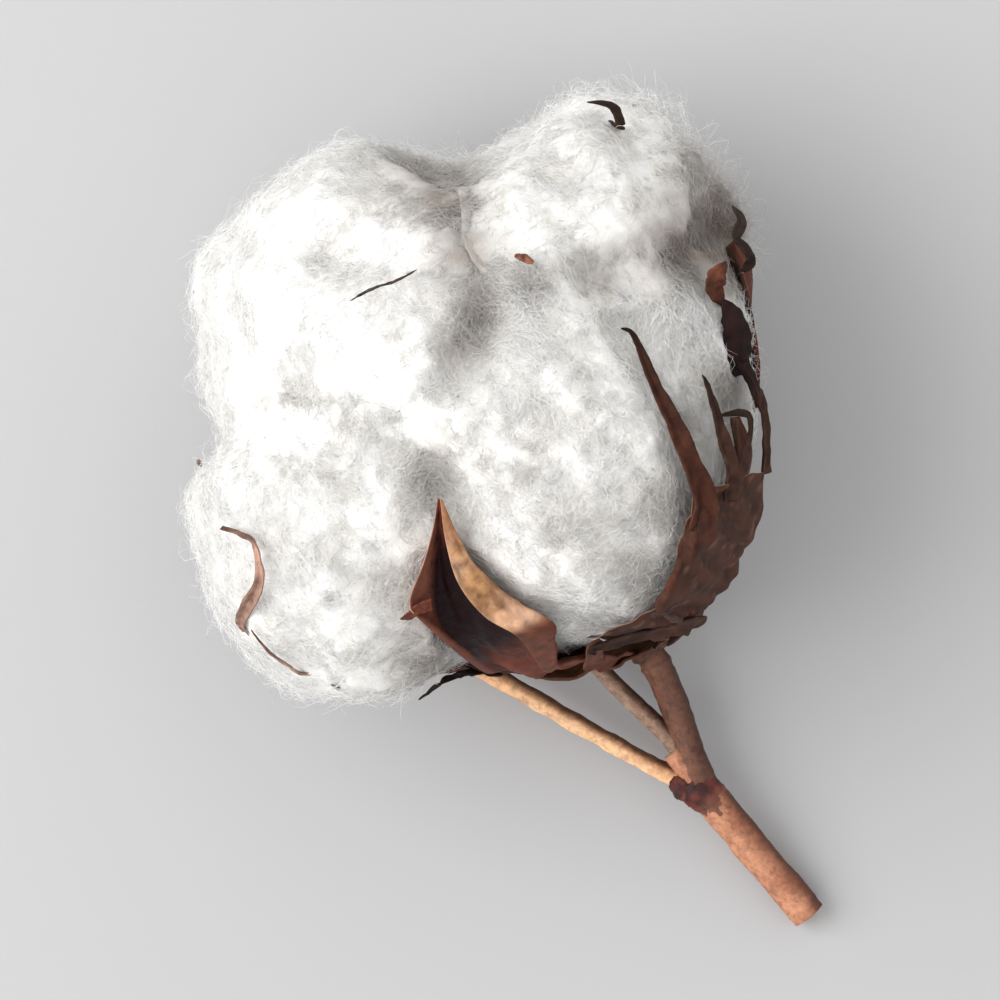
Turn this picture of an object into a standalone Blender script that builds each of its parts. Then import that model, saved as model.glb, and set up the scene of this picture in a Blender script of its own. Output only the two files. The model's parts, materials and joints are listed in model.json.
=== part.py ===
"""Open cotton boll on a short forked twig, lying on its side as picked.

Five locks of lint sit between five dry bur valves, above a calyx cup and
three toothed bracts.  The stalk of the boll and two bare leaf stalks join in
one forked twig.  Metres, +Z up, origin at the bottom centre of the whole
object's box; the boll rests on two flattened spots of lint and on the cut end
of the twig.

All construction is done round the middle of the ball of lint, in millimetres,
and scaled to metres when each mesh is made.
"""
import math

import bmesh
import bpy
import numpy as np
from mathutils import Vector

# --------------------------------------------------------------------------
# Driving dimensions, millimetres (all relative to the middle of the ball)
# --------------------------------------------------------------------------
MM = 0.001
REST_HEIGHT = 27.0            # middle of the ball above the surface
BOLL_AXIS = (-0.455, 0.700, 0.550)      # from the stalk to the open face

# middle, half sizes and root offset of each lock of lint
LOCKS = {
    "lint_lock_front":       ((9.5, -7.0, 10.0), (17.0, 17.5, 17.5)),
    "lint_lock_right":       ((16.5, 4.5, 2.0), (11.5, 11.5, 15.0)),
    "lint_lock_upper_right": ((12.5, 17.0, -5.5), (15.5, 15.5, 23.5)),
    "lint_lock_upper_left":  ((-13.3, 8.6, -4.5), (16.5, 16.5, 24.5)),
    "lint_lock_lower_left":  ((-14.0, -12.0, 5.0), (16.5, 16.5, 18.0)),
}
CORE_MIDDLE = (0.5, 0.0, 1.0)           # what the locks share, under the creases
CORE_SIZE = (26.0, 26.0, 24.5)
ROOT_DEPTH = 20.0             # the locks' roots lie this far towards the stalk
ROOT_OFFSET = 4.5
ROOT_RADIUS = 8.0
LOCK_GAP = 0.45               # kept between one lock and the next
LOCK_SHOULDER = 4.5           # rounding where a lock meets its neighbour
CREASE_SOFTNESS = 2.0         # how far the hard parts bridge the creases

VALVE_LEVEL = 0.55            # valve's inner face above the lint
VALVE_THICK = 0.95
CALYX_LEVEL = 2.0
CALYX_THICK = 0.8
CALYX_REACH = 17.0            # degrees from the stalk to the cup's rim
CALYX_TOOTH = 7.0
BRACT_LEVEL_BASE = 3.3        # outside the calyx
BRACT_LEVEL = 2.4             # outside the valves
BRACT_LEVEL_TIP = 0.9          # where a tooth's tip lies on bare lint
BRACT_THICK = 0.7

STALK_R = 1.5
TWIG_R = 1.8
LEAF_STALK_R = 1.0
MID_STALK_R = 0.95

# --------------------------------------------------------------------------
# Clean start
# --------------------------------------------------------------------------
for _ob in list(bpy.data.objects):
    bpy.data.objects.remove(_ob, do_unlink=True)


def unit(v):
    v = np.asarray(v, dtype=float)
    return v / np.linalg.norm(v)


U = unit(BOLL_AXIS)
N1 = unit(np.array([0.0, 0.0, 1.0]) - U[2] * U)   # upward side of the boll
N2 = np.cross(U, N1) * -1.0
if N2[0] < 0:
    N2 = -N2

MADE = []


def material(name, colour, rough):
    m = bpy.data.materials.new(name)
    m.use_nodes = True
    b = m.node_tree.nodes["Principled BSDF"]
    b.inputs["Base Color"].default_value = (*colour, 1.0)
    b.inputs["Roughness"].default_value = rough
    b.inputs["Metallic"].default_value = 0.0
    m.diffuse_color = (*colour, 1.0)
    return m


MAT_LINT = material("lint", (0.86, 0.85, 0.82), 0.95)
MAT_BUR = material("bur", (0.12, 0.035, 0.020), 0.60)
MAT_BRACT = material("bract", (0.14, 0.060, 0.035), 0.80)
MAT_TWIG = material("twig", (0.30, 0.15, 0.09), 0.70)
MAT_CRUMB = material("crumb", (0.12, 0.05, 0.03), 0.85)


# --------------------------------------------------------------------------
# Distance fields of the locks
# --------------------------------------------------------------------------
def ellipsoid(p, c, r):
    r = np.asarray(r, dtype=float)
    q = (p - np.asarray(c)) / r
    return (np.linalg.norm(q, axis=-1) - 1.0) * r.min()


def cone(p, a, b, ra, rb):
    ab = b - a
    t = np.clip(((p - a) @ ab) / (ab @ ab), 0.0, 1.0)
    near = a + t[..., None] * ab
    return np.linalg.norm(p - near, axis=-1) - (ra + t * (rb - ra))


def smooth_min(a, b, k):
    h = np.clip(0.5 + 0.5 * (b - a) / k, 0.0, 1.0)
    return b * (1 - h) + a * h - k * h * (1 - h)


def smooth_max(a, b, k):
    return -smooth_min(-a, -b, k)


ROOTS = {}
for _n, (_c, _r) in LOCKS.items():
    _c = np.array(_c)
    _side = unit(_c - (_c @ U) * U)
    ROOTS[_n] = -ROOT_DEPTH * U + ROOT_OFFSET * _side


def lock_field(name, p):
    c, r = LOCKS[name]
    c = np.array(c)
    body = ellipsoid(p, c, r)
    root = cone(p, c, ROOTS[name], 0.62 * min(r), ROOT_RADIUS)
    return smooth_min(body, root, 5.0)


NAMES = list(LOCKS)


def all_fields(p):
    return np.stack([lock_field(n, p) for n in NAMES])


def soft_union(p):
    f = np.concatenate([all_fields(p),
                        ellipsoid(p, CORE_MIDDLE, CORE_SIZE)[None]])
    low = f.min(axis=0)
    return low - CREASE_SOFTNESS * np.log(
        np.exp(-(f - low) / CREASE_SOFTNESS).sum(axis=0))


def lock_solid(name, p):
    """Negative inside the lock, once its neighbours and the floor cut it."""
    f = all_fields(p)
    i = NAMES.index(name)
    others = np.delete(f, i, axis=0).min(axis=0)
    body = smooth_min(f[i], ellipsoid(p, CORE_MIDDLE, CORE_SIZE), 3.0)
    g = smooth_max(body, f[i] - others + LOCK_GAP, LOCK_SHOULDER)
    return np.maximum(g, -(p[..., 2] + REST_HEIGHT))


def last_inside(field, start, directions, reach, steps=160):
    """Distance along each direction at which field first turns positive."""
    n = len(directions)
    lo = np.zeros(n)
    hi = np.full(n, reach)
    alive = np.ones(n, bool)
    for k in range(1, steps + 1):
        t = reach * k / steps
        v = field(start + directions * t)
        out = alive & (v > 0)
        hi[out] = t
        alive &= ~out
        lo[alive] = t
    for _ in range(40):
        mid = 0.5 * (lo + hi)
        v = field(start + directions * mid[:, None])
        inside = v <= 0
        lo = np.where(inside, mid, lo)
        hi = np.where(inside, hi, mid)
    return 0.5 * (lo + hi)


def level_radius(directions, level, reach=60.0):
    """Distance from the ball's middle at which soft_union reaches level."""
    directions = np.asarray(directions, dtype=float)
    level = np.broadcast_to(level, len(directions))
    steps = 150
    hi = np.full(len(directions), reach)
    found = np.zeros(len(directions), bool)
    # walk inwards from outside, so a fold in the surface cannot hide it
    for k in range(steps, 0, -1):
        t = reach * k / steps
        v = soft_union(directions * t) - level
        hit = ~found & (v <= 0)
        found |= hit
        hi = np.where(found, hi, t)
    lo = hi - reach / steps
    for _ in range(40):
        mid = 0.5 * (lo + hi)
        v = soft_union(directions * mid[:, None]) - level
        lo = np.where(v <= 0, mid, lo)
        hi = np.where(v <= 0, hi, mid)
    return 0.5 * (lo + hi)


def polar(theta, phi):
    """Direction at angle theta from the stalk and phi round the axis."""
    t, f = math.radians(theta), math.radians(phi)
    return (-math.cos(t) * U
            + math.sin(t) * (math.cos(f) * N1 + math.sin(f) * N2))


def above(x, y, level=0.8):
    """Direction of the point on the upper surface over plan position x, y."""
    z = np.linspace(45.0, -REST_HEIGHT, 1401)
    p = np.stack([np.full_like(z, x), np.full_like(z, y), z], axis=1)
    v = soft_union(p) - level
    inside = np.nonzero(v <= 0)[0]
    if len(inside):
        k = inside[0]
    else:                      # beside the ball: the nearest height to it
        k = int(np.argmin(v))
    return unit(p[k])


# --------------------------------------------------------------------------
# Mesh helpers
# --------------------------------------------------------------------------
def finish_mesh(name, bm, mat, smooth=True, angle=50.0):
    bmesh.ops.recalc_face_normals(bm, faces=bm.faces)
    if bm.calc_volume(signed=True) < 0:
        bmesh.ops.reverse_faces(bm, faces=bm.faces)
    bmesh.ops.triangulate(bm, faces=bm.faces)
    me = bpy.data.meshes.new(name)
    bm.to_mesh(me)
    bm.free()
    me.materials.append(mat)
    if smooth:
        me.shade_smooth()
        me.set_sharp_from_angle(angle=math.radians(angle))
    ob = bpy.data.objects.new(name, me)
    bpy.context.scene.collection.objects.link(ob)
    MADE.append(ob)
    return ob


def thick_sheet(name, dirs, quads, inner, outer, mat, lift=None, angle=50.0):
    """Closed shell between two levels over the lint.

    dirs: unit directions from the ball's middle, one per sheet vertex.
    quads: vertex index tuples of the sheet's faces.
    inner, outer: level of each vertex's two points.
    lift: extra distance outwards of each vertex, or None.
    """
    dirs = np.array([unit(d) for d in dirs])
    r_in = level_radius(dirs, np.asarray(inner, dtype=float))
    r_out = level_radius(dirs, np.asarray(outer, dtype=float))
    if lift is not None:
        r_in = r_in + np.asarray(lift)
        r_out = r_out + np.asarray(lift)
    bm = bmesh.new()
    vin = [bm.verts.new(Vector(d * r * MM)) for d, r in zip(dirs, r_in)]
    vout = [bm.verts.new(Vector(d * r * MM)) for d, r in zip(dirs, r_out)]
    edges = {}
    for q in quads:
        bm.faces.new([vout[i] for i in q])
        bm.faces.new([vin[i] for i in reversed(q)])
        for a, b in zip(q, q[1:] + q[:1]):
            edges.setdefault(frozenset((a, b)), []).append((a, b))
    for use in edges.values():
        if len(use) == 1:
            a, b = use[0]
            bm.faces.new([vout[b], vout[a], vin[a], vin[b]])
    return finish_mesh(name, bm, mat, angle=angle)


# --------------------------------------------------------------------------
# Locks of lint
# --------------------------------------------------------------------------
def make_lock(name):
    bm = bmesh.new()
    bmesh.ops.create_icosphere(bm, subdivisions=4, radius=1.0)
    c = np.array(LOCKS[name][0])
    d = np.array([v.co.normalized() for v in bm.verts])
    t = last_inside(lambda p: lock_solid(name, p), c, d, 48.0)
    p = c + d * t[:, None]
    low = p[:, 2] < -REST_HEIGHT + 0.03
    p[low, 2] = -REST_HEIGHT
    for v, q in zip(bm.verts, p):
        v.co = Vector(q * MM)
    return finish_mesh(name, bm, MAT_LINT, angle=60.0)


# --------------------------------------------------------------------------
# Bur valves
# --------------------------------------------------------------------------
# middle line of each valve: (angle from the stalk, angle round the axis) and
# the half width in mm at those stations
VALVES = {
    "bur_valve_front": ([(16, -30), (38, -37), (62, -34), (84, -26), (108, -19)],
                        [2.8, 7.0, 8.6, 5.6, 0.5]),
    "bur_valve_right": ([(16, 36), (36, 36), (56, 37), (76, 41), (92, 45)],
                        [2.8, 6.6, 7.6, 4.4, 0.5]),
    "bur_valve_upper_right": ([(16, 92), (38, 88), (60, 84), (80, 82), (97, 83)],
                              [2.8, 6.0, 6.6, 4.6, 0.6]),
    "bur_valve_back": ([(16, 184), (31, 184), (46, 181), (61, 174), (74, 168)],
                       [2.8, 5.0, 5.0, 3.4, 0.5]),
    "bur_valve_left": ([(16, -106), (38, -108), (60, -107), (82, -103), (103, -98)],
                       [2.8, 7.0, 8.0, 5.0, 0.5]),
}
VALVE_ROWS = 13
VALVE_COLS = 6


def smooth_line(stations, s):
    """Catmull-Rom value through evenly spaced stations at s in 0..1."""
    pts = np.asarray(stations, dtype=float)
    n = len(pts) - 1
    x = min(max(s, 0.0), 1.0) * n
    i = min(int(x), n - 1)
    f = x - i
    p0 = pts[i - 1] if i > 0 else 2 * pts[i] - pts[i + 1]
    p1, p2 = pts[i], pts[i + 1]
    p3 = pts[i + 2] if i + 2 <= n else 2 * pts[i + 1] - pts[i]
    return 0.5 * ((2 * p1) + (-p0 + p2) * f
                  + (2 * p0 - 5 * p1 + 4 * p2 - p3) * f * f
                  + (-p0 + 3 * p1 - 3 * p2 + p3) * f ** 3)


def across(stations, widths, s, w):
    """Direction at s along and w (-1..1) across a band on the ball."""
    th, ph = smooth_line(stations, s)
    a = polar(th, ph)
    th2, ph2 = smooth_line(stations, min(s + 0.02, 1.0))
    th1, ph1 = smooth_line(stations, max(s - 0.02, 0.0))
    along = unit(polar(th2, ph2) - polar(th1, ph1))
    side = unit(np.cross(along, a))
    half = max(float(smooth_line(widths, s)), 0.35)
    return unit(a + side * (half * w / 29.0))


def make_valve(name):
    stations, widths = VALVES[name]
    dirs, lift = [], []
    for i in range(VALVE_ROWS + 1):
        s = i / VALVE_ROWS
        for j in range(VALVE_COLS + 1):
            w = 2.0 * j / VALVE_COLS - 1.0
            dirs.append(across(stations, widths, s, w))
            # dry margins curl outwards, most in the middle of the length
            lift.append(0.4 * w * w * math.sin(math.pi * min(s * 1.05, 1.0)))
    quads = []
    for i in range(VALVE_ROWS):
        for j in range(VALVE_COLS):
            a = i * (VALVE_COLS + 1) + j
            quads.append((a, a + 1, a + VALVE_COLS + 2, a + VALVE_COLS + 1))
    n = len(dirs)
    return thick_sheet(name, dirs, quads, [VALVE_LEVEL] * n,
                       [VALVE_LEVEL + VALVE_THICK] * n, MAT_BUR, lift)


# --------------------------------------------------------------------------
# Calyx cup
# --------------------------------------------------------------------------
def make_calyx():
    rows, cols = 5, 30
    dirs = [polar(0.0, 0.0)]
    for i in range(1, rows + 1):
        for j in range(cols):
            ph = 360.0 * j / cols
            tooth = CALYX_TOOTH * (0.5 + 0.5 * math.cos(math.radians(5 * (ph - 14.0))))
            th = (CALYX_REACH + tooth) * i / rows
            dirs.append(polar(th, ph))
    quads = []
    for j in range(cols):
        quads.append((0, 1 + j, 1 + (j + 1) % cols))
    for i in range(rows - 1):
        for j in range(cols):
            a = 1 + i * cols + j
            b = 1 + i * cols + (j + 1) % cols
            quads.append((a, a + cols, b + cols, b))
    n = len(dirs)
    # the cup stands a little off the lint towards its rim, outside the valves
    level = [CALYX_LEVEL] + [CALYX_LEVEL + 0.25 * (i / rows)
                             for i in range(1, rows + 1) for _ in range(cols)]
    level = np.array(level)
    return thick_sheet("calyx_cup", dirs, quads, level, level + CALYX_THICK,
                       MAT_BUR)


# --------------------------------------------------------------------------
# Bracts
# --------------------------------------------------------------------------
# A bract is a fan from the stalk.  Its blade ends at a notched edge, and long
# teeth run on from there.  Each tooth is a line of stations on the ball given
# as (angle from the stalk, angle round the axis), its half width in mm at the
# root, and the level of its tip.
def plan(x, y):
    """Angles of the upper-surface point over plan position x, y."""
    d = above(x, y)
    th = math.degrees(math.acos(max(-1.0, min(1.0, float(-(d @ U))))))
    ph = math.degrees(math.atan2(float(d @ N2), float(d @ N1)))
    return th, ph


BRACTS = {
    # base spread (angle at stalk), then teeth: end of blade, stations, width
    "bract_right": {
        "base": (14.0, 12.0, 66.0),
        "teeth": [
            ([(40, 15), (47, 17), (52, 18)], 2.2, BRACT_LEVEL),
            ([(60, 27), plan(22.5, -8.5), plan(18.0, -0.8), plan(14.9, 7.2)], 1.9,
             BRACT_LEVEL_TIP),
            ([(62, 41), plan(25.3, -5.2), plan(23.2, 1.8)], 1.4, 2.2),
            ([(58, 55), (74, 60), (84, 64)], 1.6, BRACT_LEVEL),
        ],
    },
    "bract_left": {
        "base": (14.0, -98.0, -52.0),
        "teeth": [
            ([(52, -56), (60, -57), (68, -58)], 1.8, BRACT_LEVEL),
            ([(58, -68), plan(-13.5, -29.0), plan(-18.9, -27.2),
              plan(-23.2, -23.7)], 1.4, BRACT_LEVEL_TIP),
            ([(58, -80), (80, -78), plan(-24.4, -21.8), plan(-22.4, -17.8),
              plan(-22.9, -14.5), plan(-26.2, -12.9)], 1.4, BRACT_LEVEL_TIP),
            ([(50, -93), (62, -95), (72, -96)], 1.6, 2.4),
        ],
    },
    "bract_back": {
        "base": (14.0, 110.0, 162.0),
        "teeth": [
            ([(44, 116), (78, 125), (104, 123), (119, 113)], 1.7,
             BRACT_LEVEL_TIP),
            ([(41, 125), (50, 125), (57, 124)], 1.7, BRACT_LEVEL),
            ([(38, 138), (45, 139), (51, 140)], 1.7, BRACT_LEVEL),
            ([(36, 151), (42, 152), (47, 153)], 1.6, BRACT_LEVEL),
        ],
    },
}
BRACT_ROWS = 6
TOOTH_ROWS = 7


def make_bract(name):
    spec = BRACTS[name]
    th0, ph_a, ph_b = spec["base"]
    teeth = spec["teeth"]
    if (teeth[0][0][0][1] - teeth[-1][0][0][1]) * (ph_a - ph_b) < 0:
        ph_a, ph_b = ph_b, ph_a
    nt = len(teeth)
    cols = 2 * nt                       # two columns to each tooth
    # angles of the blade's far edge at each column line
    edge = []
    for k in range(cols + 1):
        if k % 2:                       # middle of a tooth
            edge.append(teeth[k // 2][0][0])
        else:                           # notch between two teeth
            left = teeth[max(k // 2 - 1, 0)][0][0]
            right = teeth[min(k // 2, nt - 1)][0][0]
            th = 0.5 * (left[0] + right[0]) - 1.5
            ph = 0.5 * (left[1] + right[1])
            if k == 0 or k == cols:
                other = teeth[0 if k == 0 else -1][0][0]
                sign = -1.0 if (k == 0) == (ph_a < ph_b) else 1.0
                ph = other[1] + sign * 6.0
                th = other[0] - 3.0
            edge.append((th, ph))
    dirs, level = [], []
    for i in range(BRACT_ROWS + 1):
        s = i / BRACT_ROWS
        for k in range(cols + 1):
            f = k / cols
            ph0 = ph_a + (ph_b - ph_a) * f
            th = th0 + (edge[k][0] - th0) * s
            ph = ph0 + (edge[k][1] - ph0) * (s ** 0.8)
            dirs.append(polar(th, ph))
            fall = min(max((th - 30.0) / 10.0, 0.0), 1.0)
            fall = fall * fall * (3 - 2 * fall)
            level.append(BRACT_LEVEL_BASE
                         + (BRACT_LEVEL - BRACT_LEVEL_BASE) * fall)
    quads = []
    row = cols + 1
    for i in range(BRACT_ROWS):
        for k in range(cols):
            a = i * row + k
            quads.append((a, a + 1, a + row + 1, a + row))
    top = BRACT_ROWS * row
    for j, (line, half, tip_level) in enumerate(teeth):
        ids = [top + 2 * j, top + 2 * j + 1, top + 2 * j + 2]
        root = [dirs[i] for i in ids]
        root_level = level[ids[1]]
        pts = [polar(*a) for a in line]
        for m in range(1, TOOTH_ROWS + 1):
            s = m / TOOTH_ROWS
            x = s * (len(pts) - 1)
            a = unit(smooth_line(pts, s))
            b = unit(smooth_line(pts, min(s + 0.04, 1.0)))
            c = unit(smooth_line(pts, max(s - 0.04, 0.0)))
            side = unit(np.cross(unit(b - c), a))
            if side @ (root[2] - root[0]) < 0:
                side = -side
            w = max(half * (1.0 - s) ** 0.8, 0.28)
            new = []
            for q, off in zip(range(3), (-1.0, 0.0, 1.0)):
                d = unit(a + side * (off * w / 29.0))
                if m == 1:
                    d = unit(0.7 * d + 0.3 * unit(root[q]))
                dirs.append(d)
                level.append(root_level + (tip_level - root_level)
                             * max(0.0, (s - 0.35) / 0.65))
                new.append(len(dirs) - 1)
            quads.append((ids[0], ids[1], new[1], new[0]))
            quads.append((ids[1], ids[2], new[2], new[1]))
            ids = new
    level = np.array(level)
    return thick_sheet(name, dirs, quads, level, level + BRACT_THICK,
                       MAT_BRACT)


# --------------------------------------------------------------------------
# Forked twig
# --------------------------------------------------------------------------
def sweep(points, radii, sides, rows):
    """Tube through points with a radius at each, closed by flat ends."""
    pts = [smooth_line(points, i / rows) for i in range(rows + 1)]
    rad = [float(smooth_line([[r] for r in radii], i / rows)[0])
           for i in range(rows + 1)]
    bm = bmesh.new()
    ref = np.array([0.0, 0.0, 1.0])
    rings = []
    for i in range(rows + 1):
        t = unit(pts[min(i + 1, rows)] - pts[max(i - 1, 0)])
        x = unit(ref - (ref @ t) * t)
        y = np.cross(t, x)
        ring = []
        for k in range(sides):
            a = 2 * math.pi * (k + 0.5) / sides
            ring.append(bm.verts.new(Vector(
                (pts[i] + rad[i] * (math.cos(a) * x + math.sin(a) * y)) * MM)))
        rings.append(ring)
    for i in range(rows):
        for k in range(sides):
            k2 = (k + 1) % sides
            bm.faces.new([rings[i][k], rings[i][k2],
                          rings[i + 1][k2], rings[i + 1][k]])
    bm.faces.new(list(reversed(rings[0])))
    bm.faces.new(rings[-1])
    bmesh.ops.recalc_face_normals(bm, faces=bm.faces)
    return bm


FLOOR = -REST_HEIGHT
FORK = np.array([23.6, -40.6, FLOOR + 4.6])
TWIG_END = np.array([34.6, -53.8, FLOOR + TWIG_R + 0.02])
STALK_TOP = -(level_radius([-U], CALYX_LEVEL + CALYX_THICK + 0.45)[0]) * U


def as_object(bm, name):
    me = bpy.data.meshes.new(name)
    bm.to_mesh(me)
    bm.free()
    ob = bpy.data.objects.new(name, me)
    bpy.context.scene.collection.objects.link(ob)
    return ob


def make_twig():
    flare = STALK_TOP - 0.9 * U
    out = STALK_TOP - 3.0 * U
    bend = np.array([18.6, -27.4, FLOOR + 6.2])
    stalk = sweep([STALK_TOP, flare, out, bend,
                   np.array([21.2, -33.8, FLOOR + 5.3]), FORK,
                   0.5 * (FORK + TWIG_END), TWIG_END],
                  [2.5, 2.0, 1.55, STALK_R, STALK_R, 1.75, TWIG_R, TWIG_R],
                  10, 28)
    body = as_object(stalk, "forked_twig")
    fork_left = FORK + np.array([-0.7, 0.6, 0.0])
    left = sweep([fork_left + 0.10 * (FORK - fork_left),
                  np.array([19.0, -38.6, FLOOR + 4.4]),
                  np.array([10.0, -33.6, FLOOR + 4.8]),
                  np.array([-1.5, -26.9, FLOOR + 5.6])],
                 [1.25, LEAF_STALK_R, LEAF_STALK_R, LEAF_STALK_R], 8, 12)
    mid = sweep([FORK + np.array([-0.3, 1.0, 0.4]),
                 np.array([19.6, -34.9, FLOOR + 4.6]),
                 np.array([14.5, -29.9, FLOOR + 4.2]),
                 np.array([8.2, -23.4, FLOOR + 3.6])],
                [1.2, MID_STALK_R, MID_STALK_R, MID_STALK_R], 8, 12)
    collar = bmesh.new()
    bmesh.ops.create_icosphere(collar, subdivisions=2, radius=1.0)
    for v in collar.verts:
        d = np.array(v.co)
        v.co = Vector((FORK + np.array([-0.75, 0.55, 0.05])
                       + d * np.array([2.35, 2.15, 2.0])) * MM)
    parts = [as_object(left, "stalk_left_tool"), as_object(mid, "stalk_mid_tool"),
             as_object(collar, "collar_tool")]
    for tool in parts:
        tool.hide_render = True
        tool.display_type = "WIRE"
        mod = body.modifiers.new(tool.name, "BOOLEAN")
        mod.operation = "UNION"
        mod.solver = "EXACT"
        mod.object = tool
    deps = bpy.context.evaluated_depsgraph_get()
    joined = bpy.data.meshes.new_from_object(body.evaluated_get(deps))
    for tool in parts:
        bpy.data.objects.remove(tool, do_unlink=True)
    bpy.data.objects.remove(body, do_unlink=True)
    bm = bmesh.new()
    bm.from_mesh(joined)
    bpy.data.meshes.remove(joined)
    bmesh.ops.remove_doubles(bm, verts=bm.verts, dist=0.00001)
    return finish_mesh("forked_twig", bm, MAT_TWIG, angle=45.0)


# --------------------------------------------------------------------------
# Broken bits caught in the lint
# --------------------------------------------------------------------------
def surface_point(x, y, level):
    d = above(x, y, level)
    return d * level_radius([d], level)[0], d


def make_splinter():
    line = []
    for x, y in ((-13.0, 10.1), (-11.6, 11.0), (-10.2, 11.5), (-8.4, 12.1),
                 (-6.6, 13.1)):
        line.append(surface_point(x, y, 0.75)[0])
    bm = sweep(line, [0.12, 0.2, 0.24, 0.2, 0.12], 6, 12)
    return finish_mesh("splinter", bm, MAT_CRUMB)


def make_crumb(name, x, y, sizes, turn, seed):
    centre, d = surface_point(x, y, 0.75)
    rng = np.random.default_rng(seed)
    bm = bmesh.new()
    bmesh.ops.create_icosphere(bm, subdivisions=2, radius=1.0)
    side = unit(np.cross(d, np.array([math.cos(turn), math.sin(turn), 0.2])))
    other = np.cross(d, side)
    for v in bm.verts:
        q = np.array(v.co) * (1.0 + rng.uniform(-0.14, 0.14))
        v.co = Vector((centre + side * q[0] * sizes[0] + other * q[1] * sizes[1]
                       + d * q[2] * sizes[2]) * MM)
    return finish_mesh(name, bm, MAT_CRUMB)


# --------------------------------------------------------------------------
# Assembly
# --------------------------------------------------------------------------
for _n in NAMES:
    make_lock(_n)
for _n in VALVES:
    make_valve(_n)
make_calyx()
for _n in BRACTS:
    make_bract(_n)
make_twig()
make_splinter()
make_crumb("crumb_red", 4.6, 14.5, (0.85, 0.55, 0.30), 0.6, 3)
make_crumb("crumb_left", -28.6, -6.6, (0.45, 0.38, 0.30), 1.1, 5)
make_crumb("crumb_lower", -14.8, -29.2, (0.55, 0.42, 0.32), 2.0, 7)

# Stand the whole object on z = 0 with its box centred on the origin
_pts = np.concatenate([[list(v.co) for v in ob.data.vertices] for ob in MADE])
_lo, _hi = _pts.min(axis=0), _pts.max(axis=0)
_shift = Vector((-(_lo[0] + _hi[0]) / 2, -(_lo[1] + _hi[1]) / 2, -_lo[2]))
for ob in MADE:
    for v in ob.data.vertices:
        v.co += _shift
        if v.co.z < 0.00002:
            v.co.z = 0.0
    ob.data.update()
print("shift mm", [round(c * 1000, 4) for c in _shift],
      "size mm", [round((b - a) * 1000, 2) for a, b in zip(_lo, _hi)])
for ob in MADE:
    print("%-24s %5d triangles  low %.3f" % (
        ob.name, len(ob.data.polygons), min(v.co.z for v in ob.data.vertices) * 1000))
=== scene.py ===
import json
import math

import bmesh
import bpy
import numpy as np
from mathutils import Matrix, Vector
from mathutils.bvhtree import BVHTree

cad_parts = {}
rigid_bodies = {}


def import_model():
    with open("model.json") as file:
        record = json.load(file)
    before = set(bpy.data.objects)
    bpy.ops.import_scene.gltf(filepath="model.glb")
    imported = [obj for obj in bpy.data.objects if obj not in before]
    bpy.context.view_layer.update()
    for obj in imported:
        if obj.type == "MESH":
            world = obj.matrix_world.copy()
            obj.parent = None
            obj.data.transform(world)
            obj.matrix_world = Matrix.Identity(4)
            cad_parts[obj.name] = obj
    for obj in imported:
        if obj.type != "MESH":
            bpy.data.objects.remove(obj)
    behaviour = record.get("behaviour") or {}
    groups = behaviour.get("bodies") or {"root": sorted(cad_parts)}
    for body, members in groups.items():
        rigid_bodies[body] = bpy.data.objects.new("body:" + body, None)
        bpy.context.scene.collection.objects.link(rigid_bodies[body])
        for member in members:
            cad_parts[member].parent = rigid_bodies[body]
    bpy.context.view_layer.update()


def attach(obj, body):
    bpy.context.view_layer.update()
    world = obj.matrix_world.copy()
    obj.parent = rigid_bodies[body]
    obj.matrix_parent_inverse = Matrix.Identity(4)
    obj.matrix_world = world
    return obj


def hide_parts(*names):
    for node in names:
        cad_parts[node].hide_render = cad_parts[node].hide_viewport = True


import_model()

MM = 0.001
REST = 27.0
SHIFT = np.array([-2.1648, 10.2640, REST])


def unit(v):
    v = np.asarray(v, dtype=float)
    n = np.linalg.norm(v, axis=-1, keepdims=True)
    return v / np.maximum(n, 1e-12)


def mix(a, b, f):
    f = np.asarray(f)[..., None]
    return np.asarray(a) * (1 - f) + np.asarray(b) * f


U = unit(np.array([-0.455, 0.700, 0.550]))
N1 = unit(np.array([0.0, 0.0, 1.0]) - U[2] * U)
N2 = np.cross(U, N1)
if N2[0] < 0:
    N2 = -N2

LOCKS = {
    "lint_lock_front":       ((9.5, -7.0, 10.0), (17.0, 17.5, 17.5)),
    "lint_lock_right":       ((16.5, 4.5, 2.0), (11.5, 11.5, 15.0)),
    "lint_lock_upper_right": ((12.5, 16.0, -5.5), (15.5, 15.5, 23.5)),
    "lint_lock_upper_left":  ((-13.3, 8.6, -4.5), (16.5, 16.5, 24.5)),
    "lint_lock_lower_left":  ((-13.0, -13.4, 5.0), (16.6, 16.8, 18.0)),
}
NAMES = list(LOCKS)
CORE_MIDDLE, CORE_SIZE = (0.5, 0.0, 1.0), (26.0, 26.0, 24.5)


# --------------------------------------------------------------------------
# Noise and fields
# --------------------------------------------------------------------------
def hash01(ix, iy, iz, seed):
    h = (ix.astype(np.uint32) * np.uint32(374761393)
         + iy.astype(np.uint32) * np.uint32(668265263)
         + iz.astype(np.uint32) * np.uint32(2147483647)
         + np.uint32(seed * 974711 + 12345))
    h = (h ^ (h >> np.uint32(13))) * np.uint32(1274126177)
    h = h ^ (h >> np.uint32(16))
    h = (h * np.uint32(2246822519)) ^ (h >> np.uint32(15))
    return (h & np.uint32(0xFFFFFF)).astype(np.float64) / float(0xFFFFFF)


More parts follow.
